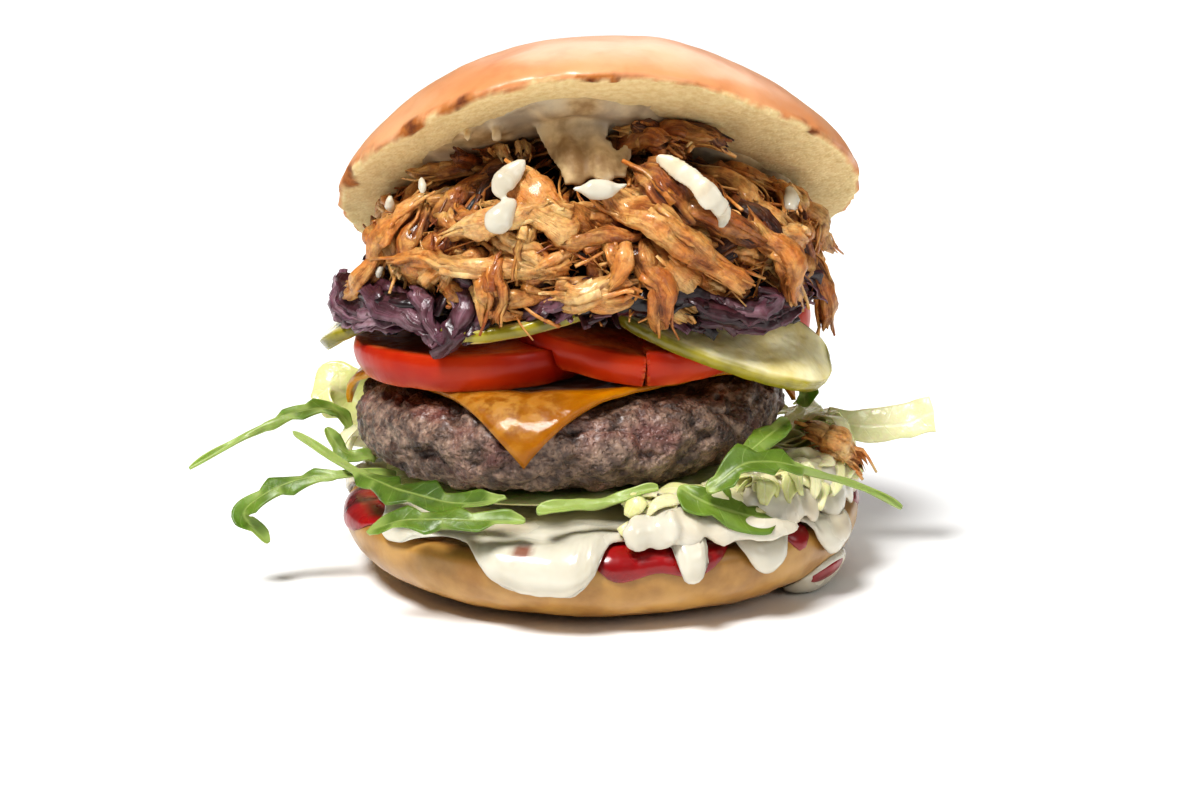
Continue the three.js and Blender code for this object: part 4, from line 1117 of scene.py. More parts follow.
CABBAGE_LUMPS = (((0, -4, 69), (41, 35, 2)), ((2, 21, 65.5), (40, 20, 5)),
                 ((-36, -14, 66), (18, 23, 4.5)), ((36, -4, 67), (14, 20, 3.5)))
CABBAGE_STRIP = {"hanging": 20, "tangled": 210}
# Long strips that show in front: points, width, shade from dark to light
CABBAGE_LONG = (
    (((-15, -43, 64.5), (-8, -46, 68), (0, -46, 72)), 3.6, 0.95),
    (((-56, -8, 66.5), (-57, -12, 64), (-52, -22, 62), (-44, -30, 64)), 4.5, 0.95),
    (((-58, -2, 66), (-57, -12, 62), (-48, -26, 61), (-40, -34, 62)), 4, 1.1),
    (((-52, -20, 69), (-46, -30, 66), (-38, -36, 63), (-33, -38, 61)), 4, 0.85),
    (((-40, -34, 69), (-37, -38, 66), (-36, -39, 61), (-33, -41, 58)), 4, 0.9),
    (((-30, -38, 70), (-29, -42, 66), (-31, -43, 61), (-35, -41, 58.5)), 4.2, 1.0),
    (((-24, -40, 69), (-25, -43, 65), (-28, -44, 61)), 3.6, 0.55),
    (((18, -44, 69), (26, -43, 66), (34, -39, 65), (41, -33, 67)), 4.5, 0.5),
    (((20, -43, 66), (29, -42, 64), (38, -36, 64.5), (44, -27, 67)), 4, 0.7),
    (((24, -42, 68), (30, -42, 66), (36, -38, 68), (33, -39, 70)), 3.4, 0.8),
    (((2, -45, 70), (12, -45, 69), (22, -43, 68)), 4.5, 0.2),
    (((44, -22, 70), (49, -16, 66), (51, -8, 61)), 4, 0.6),
)


def ellipsoid(centre, radii, rows, around):
    """Spots of an ellipsoid, from its bottom to its top."""
    tall = np.linspace(-math.pi / 2, math.pi / 2, rows)
    unit_ball = turned(np.stack([np.cos(tall), np.sin(tall)], axis=-1), around)
    return np.array(centre, float) + unit_ball * np.array(radii, float)


def ring_spot(centre, radii, angle, height):
    return (centre[0] + radii[0] * math.cos(angle), centre[1] + radii[1] * math.sin(angle), height)


def soft_shred(pile, points, half, facing, index, kind, flat=(0.2, 0.42), crumple=0.3):
    """A wet shred with an uneven, creased section that turns along its length."""
    steps, sides = 24, 10
    u = np.linspace(0, 1, steps)
    spine = curve_through(points, steps)
    side, up = sides_of(spine, facing)
    twist = (between(-2.2, 2.2, index, 35) * (u - 0.5))[:, None]
    around, along = np.meshgrid(np.linspace(0, 2 * math.pi, sides, endpoint=False), u * 20)
    row = u[:, None]
    crease = 0.3 * np.cos(2 * around + 5 * row + 6 * chance(index, 31)) + 0.2 * np.cos(3 * around - 6 * row)
    crease = 1 + crease + 0.25 * grain(polar(1, around, along / 3 + 7 * index), 1, 96)
    size = half * (0.3 + 0.7 * spindle(u, 0.5))
    turned_up = up * np.cos(twist) + side * np.sin(twist)
    spots, faces = tube(spine, size, between(*flat, index, 32) * size, turned_up, sides, crease)
    spots = spots + crumple * wander(spots + 9 * index, 2.4, 97)
    pile.add(spots, faces, along=along, across=2 * half * np.cos(around), kind=kind)


# Lumps in a near-black tone under the strips, as painted shade in the gaps between them.
def cabbage_core(pile):
    for k, (centre, radii) in enumerate(CABBAGE_LUMPS):
        grid = ellipsoid(centre, 0.97 * np.array(radii), 24, 90)
        grid = grid - normals_of(grid) * (0.5 * np.abs(rough(grid, 5, 90 + k)))[..., None]
        pile.add(grid, [grid_faces(24, 90, closed=True)], along=grid[..., 0], across=grid[..., 1], kind=0.1)


def hanging_cabbage(pile):
    """Strips in threes that hang over the rim of the heap."""
    for i in range(CABBAGE_STRIP["hanging"]):
        angle = 2 * math.pi * (i + between(-0.3, 0.3, i, 1)) / CABBAGE_STRIP["hanging"]
        lean, fall = between(-0.14, 0.14, i, 2), between(4, 14, i, 3)
        start = CABBAGE_TOP - between(1, 3, i, 4)
        for k in range(3):
            key = 3 * i + k
            way = angle + 0.05 * (k - 1) + between(-0.02, 0.02, key, 33)
            points = (ring_spot((0, -2), (36, 31), way - lean, start),
                      ring_spot((0, -2), (45, 40), way, start - 0.25 * fall),
                      ring_spot((0, -2), (51, 45), way + lean, start - fall * between(0.7, 1, key, 34)))
            soft_shred(pile, points, between(0.9, 1.7, key, 5), outward(angle, 0.7), 400 + key,
                       0.9 * chance(key, 6) ** 1.6)


def tangled_cabbage(pile):
    """Strips that lie along the side of the heap, higher where the pickles meet in front."""
    first = CABBAGE_STRIP["hanging"]
    for i in range(first, first + CABBAGE_STRIP["tangled"]):
        angle, height = 2 * math.pi * chance(i, 7), chance(i, 12)
        lowest = 60 + 7 * math.exp(-(46 * math.cos(angle) / 22) ** 2) * (math.sin(angle) < 0)
        turn, fall = between(-0.11, 0.11, i, 8), between(-2.5, 2.5, i, 11)
        points = []
        for k in range(5):
            key, step = 5 * i + k, k - 2
            out = between(-7, 2.5, key, 13) - 3 * abs(step)
            level = lowest + (CABBAGE_TOP - lowest) * height + step * fall + between(-2.5, 2.5, key, 9)
            level = min(max(level, lowest - 1), CABBAGE_TOP + 1)
            way = angle + step * turn + between(-0.05, 0.05, key, 10)
            points.append(ring_spot((-2, -2), (49 + out, 43 + out), way, level))
        soft_shred(pile, points, between(0.9, 2.3, i, 14), outward(angle, between(-0.6, 1.4, i, 15)), i,
                   0.05 + 0.9 * chance(i, 16) ** 1.7)


def front_cabbage(pile):
    """The long strips that show in front, each of them three that lie together."""
    for k, (points, width, kind) in enumerate(CABBAGE_LONG):
        facing = (0.3 * points[0][0] / 40, -1, 0.5)
        for part in range(3):
            key = 3 * k + part
            aside = (between(-0.3, 0.3, key, 43), between(-0.3, 0.2, key, 44), 0.36 * (part - 1))
            soft_shred(pile, np.array(points) + width * np.array(aside), between(0.3, 0.52, key, 45) * width,
                       facing, 300 + key, kind * between(0.5, 1.1, key, 36), (0.1, 0.22), 0.8)


def cabbage_heap():
    pile = Pile()
    cabbage_core(pile)
    hanging_cabbage(pile)
    tangled_cabbage(pile)
    front_cabbage(pile)
    return pile.piece("cabbage_heap", CABBAGE, ["cabbage"])


# Pulled pork

PORK_SHRED = {"length": 24, "width": 6.5, "thickness": 5}
PORK_COUNT = {"around": 12, "rows": 3, "loose": 130, "tops": 26, "threads": 250}
PORK_LOW, PORK_HIGH = 68, 91
# Rows and sides of the mesh of a chunk
LARGE_CHUNK, SMALL_CHUNK = (18, 24), (13, 18)
# Loose strands at the ends of each chunk
FRAYS = 5
# Large shreds in front: start, end, width, how far the middle bulges out, shade from dark to light
LARGE_SHREDS = (
    ((0, -42, 92), (28, -42, 72), 7, 5, 0.7), ((8, -38, 95), (20, -43, 85), 9, 2, 0.36),
    ((9, -44, 81), (13.5, -47, 64.5), 6, 2, 0.5), ((-18, -39, 93), (-2, -45, 82), 9, 3, 0.75),
    ((-42, -31, 75), (-7, -46, 75), 5, 5, 0.85), ((-19, -43, 79), (-20.5, -47, 64), 5.5, 2, 0.5),
    ((-36, -29, 88), (-48, -24, 73), 7, 3, 0.75), ((31, -37, 84), (41, -32, 66), 6.5, 3, 0.55),
    ((42, -20, 77), (50, -11, 57), 6, 3, 0.45), ((-46, -26, 74), (-54, -18, 66), 6, 1, 0.65),
    ((-30, -38, 82), (-12, -45, 88), 5, 2, 0.95), ((14, -42, 88), (34, -37, 80), 6, 3, 0.35),
)


def below_roof(spots, clear):
    """Lowers spots until they are clear of the cut face of the crown."""
    centre, matrix = CROWN_FRAME
    local = (spots - np.array(centre)) @ matrix
    over = np.maximum(0, local[..., 2] - arch_at(local[..., 0]) + clear)
    return spots - np.stack([0 * over, 0 * over, over / math.cos(CROWN_TILT)], axis=-1)


def buried(spots):
    """How deep spots are in the heap of pork, from 0 at its outside to 1."""
    away = (spots - np.array(PORK_CENTRE)) / np.array(PORK_RADII)
    away[:, 2] = np.maximum(0, away[:, 2])
    return 1 - ramp(np.linalg.norm(away, axis=-1), 0.95, 1.13)


def torn_chunk(pile, points, width, thickness, facing, index, kind, cells=LARGE_CHUNK):
    """A torn chunk of meat, ridged along its fibres, with ragged and frayed ends."""
    steps, sides = cells
    u = np.linspace(0, 1, steps)
    spine = curve_through(points, steps)
    spine = below_roof(spine + 1.5 * wander(spine + 9 * index, 6, 57, 30), 0.45 * thickness + 0.8)
    turn = np.linspace(0, 2 * math.pi, sides, endpoint=False) + between(-1.2, 1.2, index, 58) * u[:, None]
    run = np.broadcast_to(u[:, None] * length_of(spine), turn.shape)
    place = polar(1, turn, 0.2 * run + 13 * index) * (0.5 * width, 0.5 * thickness, 1)
    ridge = 0.65 * grain(place, 1.5, 91) + 0.35 * grain(place, 0.8, 92)
    split = ramp(-ridge, 0.15, 0.6)
    half = 0.5 * width * (1 + 0.3 * grain(spine + 11 * index, 4, 60)) * (0.4 + 0.6 * spindle(u, 0.6))
    spots, faces = tube(spine, half, thickness / width * half, facing, sides, 1 + 0.35 * ridge - 0.3 * split)
    ragged = grain(polar(2, turn, 17 * index), 0.8, 94) * between(1.5, 3.5, index, 52)
    pull = (np.abs(2 * u - 1) ** 5 * np.sign(2 * u - 1))[:, None] * ragged
    spots = spots + (unit(np.gradient(spine, axis=0))[:, None] * pull[..., None]).reshape(-1, 3)
    spots = spots + 0.35 * wander(spots, 1.8, 95)
    # Painted light and shade: ridges are painted lighter, splits darker, and chunks deep in the heap darker
    # still as painted shade between the chunks.
    shade = kind + (0.13 * ridge - 0.26 * split).ravel() - 0.6 * buried(spots)
    pile.add(spots, faces, along=run, across=0.5 * width * turn, kind=np.clip(shade, 0, 1))
    for k in range(FRAYS):
        frayed_strand(pile, spine, width, thickness, facing, 41 * index + k, kind, k % 2)


def frayed_strand(pile, spine, width, thickness, facing, key, kind, back):
    """A loose strand that leaves a chunk at its last end, or at its first where back is set."""
    share = np.linspace(0.35, 1, 7)
    grow = ((share - 0.35) / 0.65)[:, None]
    near = ((1 - share if back else share) * (len(spine) - 1)).round().astype(int)
    ahead = unit(spine[0] - spine[2]) if back else unit(spine[-1] - spine[-3])
    side, up = sides_of(spine, facing)
    turn = 2 * math.pi * chance(key, 54)
    aside = 0.4 * (side[near] * width * math.cos(turn) + up[near] * thickness * math.sin(turn))
    path = spine[near] + aside * (0.9 - 0.3 * grow + 0.5 * grow ** 3)
    path = path + ahead * grow ** 2 * between(0.5, 4.5, key, 55)
    path = below_roof(path + 0.9 * wander(path + 3 * key, 4, 59, 40), 1.2)
    thick = between(0.45, 1.3, key, 56) * (1.05 - 0.7 * grow[:, 0])
    spots, faces = tube(path, thick, 0.8 * thick, facing, 5)
    pile.add(spots, faces, along=np.repeat(share * length_of(spine), 5),
             across=np.tile(np.arange(5) * 0.5, 7), kind=np.clip(kind + between(-0.15, 0.25, key, 53), 0, 1))


def pork_spot(angle, height, out):
    """A spot on the heap, or out from it."""
    rise = max(0, (height - PORK_CENTRE[2]) / PORK_RADII[2])
    share = math.sqrt(max(0, 1 - rise * rise))
    return ring_spot(PORK_CENTRE, (PORK_RADII[0] * share + out, PORK_RADII[1] * share + out), angle, height)


def shred_on_heap(pile, i, angle, height):
    """One of the shreds that lie on the heap."""
    steep = between(-0.3, 1.2, i, 12)
    half = 0.5 * PORK_SHRED["length"] * between(0.7, 1.2, i, 13)
    sweep = half * math.cos(steep) / PORK_RADII[0] * (-1 if chance(i, 14) < 0.5 else 1)
    drop = 0.7 * half * math.sin(steep)
    points = (pork_spot(angle - sweep, height + drop, -0.5),
              pork_spot(angle, height, between(0.8, 2.4, i, 15)),
              pork_spot(angle + sweep, height - drop, between(0.2, 3, i, 16)))
    torn_chunk(pile, points, PORK_SHRED["width"] * between(0.65, 1.15, i, 17), PORK_SHRED["thickness"],
               outward(angle, 0.4), i, shade_of(i))


def shade_of(index):
    """Most shreds are light, and some are dark."""
    return between(0.05, 0.3, index, 18) if chance(index, 22) < 0.1 else between(0.4, 1.0, index, 18)


def loose_shred(pile, i, angle, height, scale):
    """A torn bit on the heap that points any way, also out of it."""
    way, half = 2 * math.pi * chance(i, 23), 0.5 * PORK_SHRED["length"] * between(0.35, 0.8, i, 13) * scale
    sweep, drop = half * math.cos(way) / PORK_RADII[0], half * math.sin(way)
    lift = between(-2, 3.5, i, 15)
    points = (pork_spot(angle - sweep, height + drop, lift - between(0, 4, i, 24)),
              pork_spot(angle - 0.3 * sweep, height + 0.4 * drop, lift + between(-0.5, 1, i, 25)),
              pork_spot(angle + sweep, height - drop, lift + between(-3, 2.5, i, 16)))
    torn_chunk(pile, points, PORK_SHRED["width"] * between(0.5, 1.05, i, 17) * scale,
               PORK_SHRED["thickness"] * scale, outward(angle, between(-0.3, 0.9, i, 26)), i, shade_of(i),
               SMALL_CHUNK)


def roof_over(angle):
    """The height of the crown's cut face over the rim of the heap."""
    y = PORK_CENTRE[1] + 0.9 * PORK_RADII[1] * math.sin(angle)
    return CROWN_CENTRE[2] - math.tan(CROWN_TILT) * (y - CROWN_CENTRE[1])


def shreds_in_rows(pile, numbers):
    around, rows = PORK_COUNT["around"], PORK_COUNT["rows"]
    for row, column in itertools.product(range(rows), range(around)):
        number = next(numbers)
        turn = column + 0.5 * (row % 2) + between(-0.25, 0.25, number, 11)
        angle = 2 * math.pi * turn / around
        top = min(PORK_HIGH, roof_over(angle) - 6)
        shred_on_heap(pile, number, angle, PORK_LOW + (top - PORK_LOW) * (row + 0.3) / rows)


def shreds_all_over(pile, numbers):
    """Loose shreds, two in three of them at the front."""
    for k in range(PORK_COUNT["loose"]):
        number = next(numbers)
        angle = math.pi * (1 + chance(number, 19)) if k % 3 else 2 * math.pi * chance(number, 19)
        low, top = PORK_LOW - 1, min(PORK_HIGH + 4, roof_over(angle) - 3)
        loose_shred(pile, number, angle, low + (top - low) * chance(number, 20),
                    between(0.55, 1.05, number, 21))


def shreds_on_top(pile, numbers):
    """Bits under the crown, kept behind the film of mayonnaise."""
    film_right = FILM[-1][0]
    for _ in range(PORK_COUNT["tops"]):
        number = next(numbers)
        angle, share = math.pi * (1.1 + 0.8 * chance(number, 27)), between(0.35, 0.9, number, 28)
        spot = np.array(ring_spot(PORK_CENTRE, (share * PORK_RADII[0], share * PORK_RADII[1]), angle, 99))
        if spot[0] < film_right:
            spot[1] = max(spot[1], -18)
        way = outward(2 * math.pi * chance(number, 29), between(-0.5, 0.5, number, 31))
        reach = between(4, 9, number, 30) * np.array(way)
        torn_chunk(pile, (spot - reach, spot + (0, 0, 2), spot + reach), between(3.5, 6.5, number, 17), 4,
                   (0, -0.5, 1), number, shade_of(number), SMALL_CHUNK)


def shreds_in_front(pile, numbers):
    for start, end, width, bulge, kind in LARGE_SHREDS:
        middle = (np.array(start, float) + end) / 2
        away = unit((middle - PORK_CENTRE) * (1, 1, 0))
        torn_chunk(pile, (start, middle + bulge * away, end), width, PORK_SHRED["thickness"],
                   (*away[:2], 0.4), next(numbers), kind)


def pork_threads():
    """Single fibres that stand off the heap."""
    pile, steps, sides = Pile(), 14, 5
    for k in range(PORK_COUNT["threads"]):
        angle = math.pi * (1 + chance(k, 61)) if k % 3 else 2 * math.pi * chance(k, 61)
        height = PORK_LOW - 2 + (min(94, roof_over(angle) - 3) - PORK_LOW + 2) * chance(k, 62)
        sweep, fall = between(-0.16, 0.16, k, 63), between(-5, 7, k, 64)
        points = [pork_spot(angle + share * sweep, height - share * fall, between(0, 4.5, k, 65 + j))
                  for j, share in enumerate((-1, -0.3, 0.4, 1))]
        thick = between(0.16, 0.5, k, 69) * (1 - 0.5 * np.linspace(0, 1, steps))
        spine = below_roof(curve_through(points, steps), 1)
        spots, faces = tube(spine, thick, thick, outward(angle, 0.3), sides)
        pile.add(spots, faces, along=np.repeat(np.arange(float(steps)), sides),
                 across=np.tile(np.arange(sides) * 0.4, steps), kind=between(0.3, 1, k, 70))
    return pile.piece("pork_threads", PORK, ["pork"])


def pork_heap():
    """Chunks over a core, and threads. Returns the surface of the chunks, for what lies on them."""
    pile, numbers = Pile(), itertools.count()
    shreds_in_rows(pile, numbers)
    shreds_all_over(pile, numbers)
    shreds_on_top(pile, numbers)
    shreds_in_front(pile, numbers)
    # A core in the darkest tone, as painted shade in the gaps between the chunks.
    core = ellipsoid(PORK_CENTRE, 0.88 * np.array(PORK_RADII), 30, 90)
    core[..., 2] = np.maximum(core[..., 2], CABBAGE_TOP + 0.9)
    core = below_roof(core, 2)
    pile.add(core, [grid_faces(30, 90, closed=True)], along=core[..., 0], across=core[..., 2], kind=0)
    faces = [list(face) for face in itertools.chain(*pile.faces)]
    surface = BVHTree.FromPolygons(np.vstack(pile.spots).tolist(), faces)
    pile.piece("pork_chunks", PORK, ["pork"])
    pork_threads()
    return surface


# Drops of mayonnaise on the pork: the curve of each run, its half widths, how flat it is, how thin it looks
PORK_DROPS = (
    (((-17, -44, 90), (-19, -46, 87.8), (-20.6, -47, 85.4), (-21.2, -46.5, 83)),
     (0.9, 2.1, 3.2, 2.1), 0.85, 0),
    (((-15, -42, 97.5), (-17.5, -44.5, 95), (-20, -45.5, 92.5), (-20.2, -46, 89.8)),
     (1.0, 2.3, 2.6, 1.3), 0.6, 0.1),
    (((-6, -45, 92), (-3.2, -46, 91.8), (0.2, -46, 91.7), (3, -45.5, 92), (6, -44, 93)),
     (0.5, 0.8, 2.1, 2.3, 1.9, 0.7, 0.5), 0.85, 0),
    (((11, -42, 98), (15, -45.5, 96.2), (20, -47.8, 93), (23.4, -48.6, 88.6)),
     (1.6, 2.3, 2.2, 3.3), 0.28, 0.3),
    (((23.4, -48.6, 90), (25, -48.6, 86.5), (24.3, -48, 83.6)), (2.2, 2.0, 1.0), 0.35, 0.1),
    (((40, -21, 89), (40.6, -23, 86.5), (40.2, -24, 84)), (1.0, 1.9, 1.5), 0.8, 0),
    (((-44, -25, 88), (-44.2, -27, 86), (-44, -27, 84)), (0.6, 1.3, 0.9), 0.8, 0.1),
    (((-46, -28, 73), (-46.8, -29.5, 71.4), (-47, -29.5, 70)), (0.6, 1.0, 0.7), 0.8, 0),
    (((-37, -34, 93), (-36.5, -36, 91), (-36.5, -37, 89.5)), (0.6, 1.1, 0.7), 0.7, 0.1),
)


def laid_on(path, surface, reach=9):
    """A curve moved forward or back until it lies on the front of a surface that is within reach."""
    depths = []
    for x, y, z in path:
        hit = surface.ray_cast((x, y - reach, z), (0, 1, 0), 2 * reach)[0]
        depths.append(hit[1] if hit else y)
    padded = np.pad(depths, 3, mode="edge")
    path[:, 1] = np.minimum(np.convolve(padded, np.full(7, 1 / 7), mode="valid"), np.array(depths) + 1.2)
    return path


def pork_drops(surface):
    """Drops of mayonnaise that lie on the pork."""
    pile, middles = Pile(), []
    for points, sizes, flat, _ in PORK_DROPS:
        path = laid_on(curve_through(points, 11), surface)
        rounded(pile, path - (0, 0.3 * flat * max(sizes), 0), sizes, flat, (0.01, -1, 0.2))
        middles.append(np.mean(points, axis=0))
    spots, faces = fused(pile, 0.42, 9)
    nearest = np.argmin(np.linalg.norm(spots[:, None] - np.array(middles), axis=-1), axis=1)
    thin = np.array([drop[3] for drop in PORK_DROPS])[nearest] * (1 + 0.6 * grain(spots, 4, 46))
    made = Pile()
    made.add(spots, faces, thin=np.clip(thin, 0, 1))
    return made.piece("pork_drops", MAYO, ["pork"])


def pork_bit():
    """The shreds that fell beside the patty."""
    pile = Pile()
    shift = np.mean(node_box("pork_bit"), axis=0) - (51, -12.5, 28.5)
    for i in range(3):
        middle = (50, -13 - chance(i, 31), 29 + between(-2, 2, i, 32))
        points = np.array(((45 + 2 * i, -12, 32 - 2 * i), middle, (57 - 2 * i, -11, 24 + 2.5 * i)))
        torn_chunk(pile, points + shift, 4.5, 3, (0.4, -1, 0.4), 400 + i, between(0.75, 1, i, 33))
    return pile.piece("pork_bit_shreds", PORK, ["pork_bit"])


# Leaves

LETTUCE_TURNS = (13, 27, 41, 55, 69, 83, 98, 130, 162, 195, 228, 260)
LETTUCE_SHRED = {"thickness": 0.6, "bed": 43, "more": 56}
ROCKET_STEM = 2
# points run along each leaf, blade is the stretch that is wider than the stem
ROCKET_LEAVES = (
    {"node": "rocket_stem_left", "points": ((-57, 8, 29), (-61, 6, 33.5), (-71, 1, 33.5), (-92, -6, 23)),
     "blade": (0, 0.55), "width": 5, "lobes": 2},
    {"node": "rocket_low_left",
     "points": ((-46, -18, 25), (-57, -21, 25.5), (-69, -22, 24), (-79, -22, 17), (-74, -22, 10.5)),
     "blade": (0.3, 1), "width": 6.5, "lobes": 2},
    {"node": "rocket_small_left", "points": ((-49, -10, 26), (-56, -11, 28), (-60, -9, 33)),
     "blade": (0, 1), "width": 4.5, "lobes": 1},
    {"node": "rocket_front_left",
     "points": ((-68, -8, 32), (-58, -17, 28), (-42, -40, 27.5), (-28, -49, 27), (-19, -53, 29.5)),
     "blade": (0.35, 0.98), "width": 9, "lobes": 2},
    {"node": "rocket_pointed", "points": ((-48, -46, 20), (-40, -50, 23.5), (-28, -54, 24.8), (-15, -55, 25)),
     "blade": (0, 1), "width": 7, "lobes": 2},
    {"node": "rocket_stem_front", "points": ((-13, -55, 27), (0, -53, 28.5), (12, -51.5, 31)),
     "blade": (0, 0.1), "width": 3, "lobes": 1, "stem": 3},
    {"node": "rocket_broad", "points": ((16, -50, 30), (22, -52, 27), (30, -50, 24), (37, -45, 22)),
     "blade": (0, 1), "width": 12, "lobes": 1},
    {"node": "rocket_right",
     "points": ((19, -48, 31), (27, -45, 36), (38, -39, 34), (50, -30, 28), (62, -23, 20.5)),
     "blade": (0, 0.45), "width": 8.5, "lobes": 1.6},
    {"node": "rocket_dark", "points": ((28, -41, 33), (34, -37, 37), (40, -30, 40)),
     "blade": (0, 1), "width": 7, "lobes": 1},
    {"node": "rocket_back_right", "points": ((47, 12, 33), (48, 12, 39), (50, 13, 45)),
     "blade": (0, 1), "width": 6, "lobes": 1},
)


def rocket_leaf(index, node, points, blade, width, lobes, stem=ROCKET_STEM):
    """A lobed leaf on its stem."""
    def full(u, v):
        share = np.clip((u - blade[0]) / (blade[1] - blade[0]), 0, 1)
        step = (1.6 * lobes * share + np.where(v < 0.5, 0.2, 0.65) + 0.3 * chance(index, 73)) % 1
        lobe = np.where(step < 0.72, (step / 0.72) ** 1.3, ((1 - step) / 0.28) ** 0.9)
        stalk = stem * (1 - 0.3 * u) * np.sqrt(1 - 0.9 * (2 * u - 1) ** 14)
        return stalk + (1.1 * width - stem) * np.sin(math.pi * share) ** 0.6 * (0.3 + 0.7 * lobe)

    def wave(u, v):
        fold = between(0.06, 0.22, index, 71) * np.abs(v - 0.5) * full(u, v)
        return 3.2 * (v - 0.5) ** 2 * np.sin(9 * u) + fold + 0.2 * np.sin(23 * u + 5 * v) * np.abs(2 * v - 1)

    middle, up, u, v, length = strip_grid(points, full, (0, -0.8, 1), 110, 11, wave)
    out = (v - 0.5) * full(u, v)
    thickness = 0.4 + 0.8 * np.exp(-(out / (0.4 * stem)) ** 2) * (1 - 0.75 * u)
    spots, faces = two_sided(middle, up, thickness)
    stalk = 0.7 * (1 - ramp(full(u, v), 1.15 * stem, 2.4 * stem))
    pile = Pile()
    pile.add(moved_to(spots, node), faces, along=both_faces(u * length), across=both_faces(2 * v - 1),
             kind=chance(index, 72), stem=both_faces(stalk))
    return pile.piece(node + "_leaf", ROCKET, [node])


def torn_edge(index, width):
    """The width of a bit of leaf with a torn edge, from u and v."""
    def wide(u, v):
        torn = grain(np.stack([9 * u, np.where(v < 0.5, 0.0, 50.0) + 3 * index, 0 * u], axis=-1), 1.5, 89)
        return width * (0.1 + 0.9 * spindle(u, 0.7, 0.02)) * (1 + 0.35 * torn)
    return wide


def leaf_bit(pile, index, points, wide, facing, crumple, cells=(22, 9)):
    """A crumpled bit of lettuce."""
    middle, up, u, v, length = strip_grid(points, wide, facing, *cells)
    for size, share in ((7, 1), (3.5, 0.3)):
        middle = middle + share * crumple * wander(middle + 3 * index, size, 85, 20)
    spots, faces = two_sided(middle, up, LETTUCE_SHRED["thickness"] * (1 - 0.6 * np.abs(2 * v - 1) ** 6))
    pile.add(spots, faces, along=both_faces(u * length), across=both_faces(2 * v - 1), kind=chance(index, 87))


def lettuce_bed(pile):
    radius = LETTUCE_SHRED["bed"]
    bed = set_down(ellipsoid((0, 0, -1.35), (radius, radius, 0.75), 8, 90), *PATTY_FRAME)
    pile.add(bed, [grid_faces(8, 90, closed=True)], along=bed[..., 0], across=bed[..., 1], kind=0.2)


def lettuce_pairs(pile):
    """Large shreds in pairs that hang over the rim."""
    for i, turn in enumerate(LETTUCE_TURNS):
        angle = math.radians(turn + between(-4, 4, i, 21) - 90)
        lean, rise, slant = between(-0.12, 0.12, i, 22), between(0, 7, i, 23), math.cos(angle)
        tuck = 4 * (turn < 35)
        for k in range(2):
            key = 2 * i + k
            aside, lift = angle + 0.12 * (k - 0.5), between(-1.2, 1.2, key, 28)
            points = (ring_spot((-4, -2), (39, 39), aside - lean, 25.3 + 2.3 * slant),
                      ring_spot((-2, -1), (50, 50), aside, 25.2 + 1.6 * slant + 0.3 * rise + lift),
                      ring_spot((0, 0), (56 - tuck, 56 - tuck), aside + lean, 25.5 + rise + lift),
                      ring_spot((0, 0), (58 + lift - tuck, 58 - tuck), aside + 2 * lean,
                                22.5 + 0.6 * rise + 2 * lift))
            leaf_bit(pile, key, points, torn_edge(key, between(4, 8, key, 24)), outward(angle, 3), 1.5)


def lettuce_scraps(pile):
    """Small shreds, four in five of them at the right front."""
    for i in range(60, 60 + LETTUCE_SHRED["more"]):
        turn = between(18, 108, i, 81) if i % 5 else between(110, 270, i, 81)
        angle = math.radians(turn - 90)
        skew, rise = between(-0.35, 0.35, i, 82), between(-1, 8, i, 83) * (0.4 + 0.6 * math.cos(angle))
        level = 25.5 + 0.7 * rise + between(-1.5, 1.5, i, 29)
        points = (ring_spot((-2, -2), (41, 41), angle - skew, 26),
                  ring_spot((-1, -1), (49, 49), angle - 0.2 * skew, level),
                  ring_spot((0, 0), (54, 54), angle + 0.5 * skew, 24.5 + rise),
                  ring_spot((0, 0), (54 + between(0, 4, i, 84), 54), angle + skew, 22.5 + 0.8 * rise))
        leaf_bit(pile, i, points, torn_edge(i, between(3, 8, i, 85)),
                 outward(angle, between(0.2, 3, i, 86)), 1.8)


def lettuce_heap():
    pile = Pile()
    lettuce_bed(pile)
    lettuce_pairs(pile)
    lettuce_scraps(pile)
    return pile.piece("lettuce_heap", LETTUCE, ["lettuce_bed"])


# Runs of mayonnaise over the lettuce: the curve of each, its half widths, how flat it is
LETTUCE_MAYO = (
    (((14.5, -54, 27.5), (15, -56.5, 24.5), (15.2, -57.5, 21)), (1.2, 1.5, 1.5), 0.7),
    (((20, -52, 24), (27, -51.5, 22.8), (35, -49, 21.5), (42, -45, 21)), (1.4, 2.4, 2.6, 1.8), 0.6),
)
# Turns in degrees where mayonnaise coats the lettuce on the right
COATED_TURNS = range(8, 90, 5)


def lettuce_mayo():
    """Mayonnaise that coats the lettuce and runs over it."""
    pile = Pile()
    for points, sizes, flat in LETTUCE_MAYO:
        rounded(pile, points, sizes, flat, (0.4, -1, 0.6))
    for i, turn in enumerate(COATED_TURNS):
        angle = math.radians(turn + between(-2, 2, i, 37) - 90)
        top = between(23, 28, i, 38) + 3 * math.sin(math.radians(turn))
        levels = ((51, top), (54.5, 0.5 * top + 12.5), (57, 23), (57.5, 19.5))
        points = [ring_spot((0, 0), (reach, reach), angle + between(-0.04, 0.04, 4 * i + k, 39), height)
                  for k, (reach, height) in enumerate(levels)]
        sizes = (2, between(3, 4, i, 41), between(3.4, 4.4, i, 42), 3)
        rounded(pile, points, sizes, 0.4, outward(angle, 0.6))
    spots, faces = fused(pile, 0.6, 20)
    spots = spots + 0.7 * wander(spots, 10, 98, noise=rough)
    made = Pile()
    made.add(spots, faces, thin=np.clip(0.05 + 0.3 * grain(spots, 6, 97), 0, 0.25))
    return made.piece("lettuce_mayo", MAYO, ["lettuce_bed"])


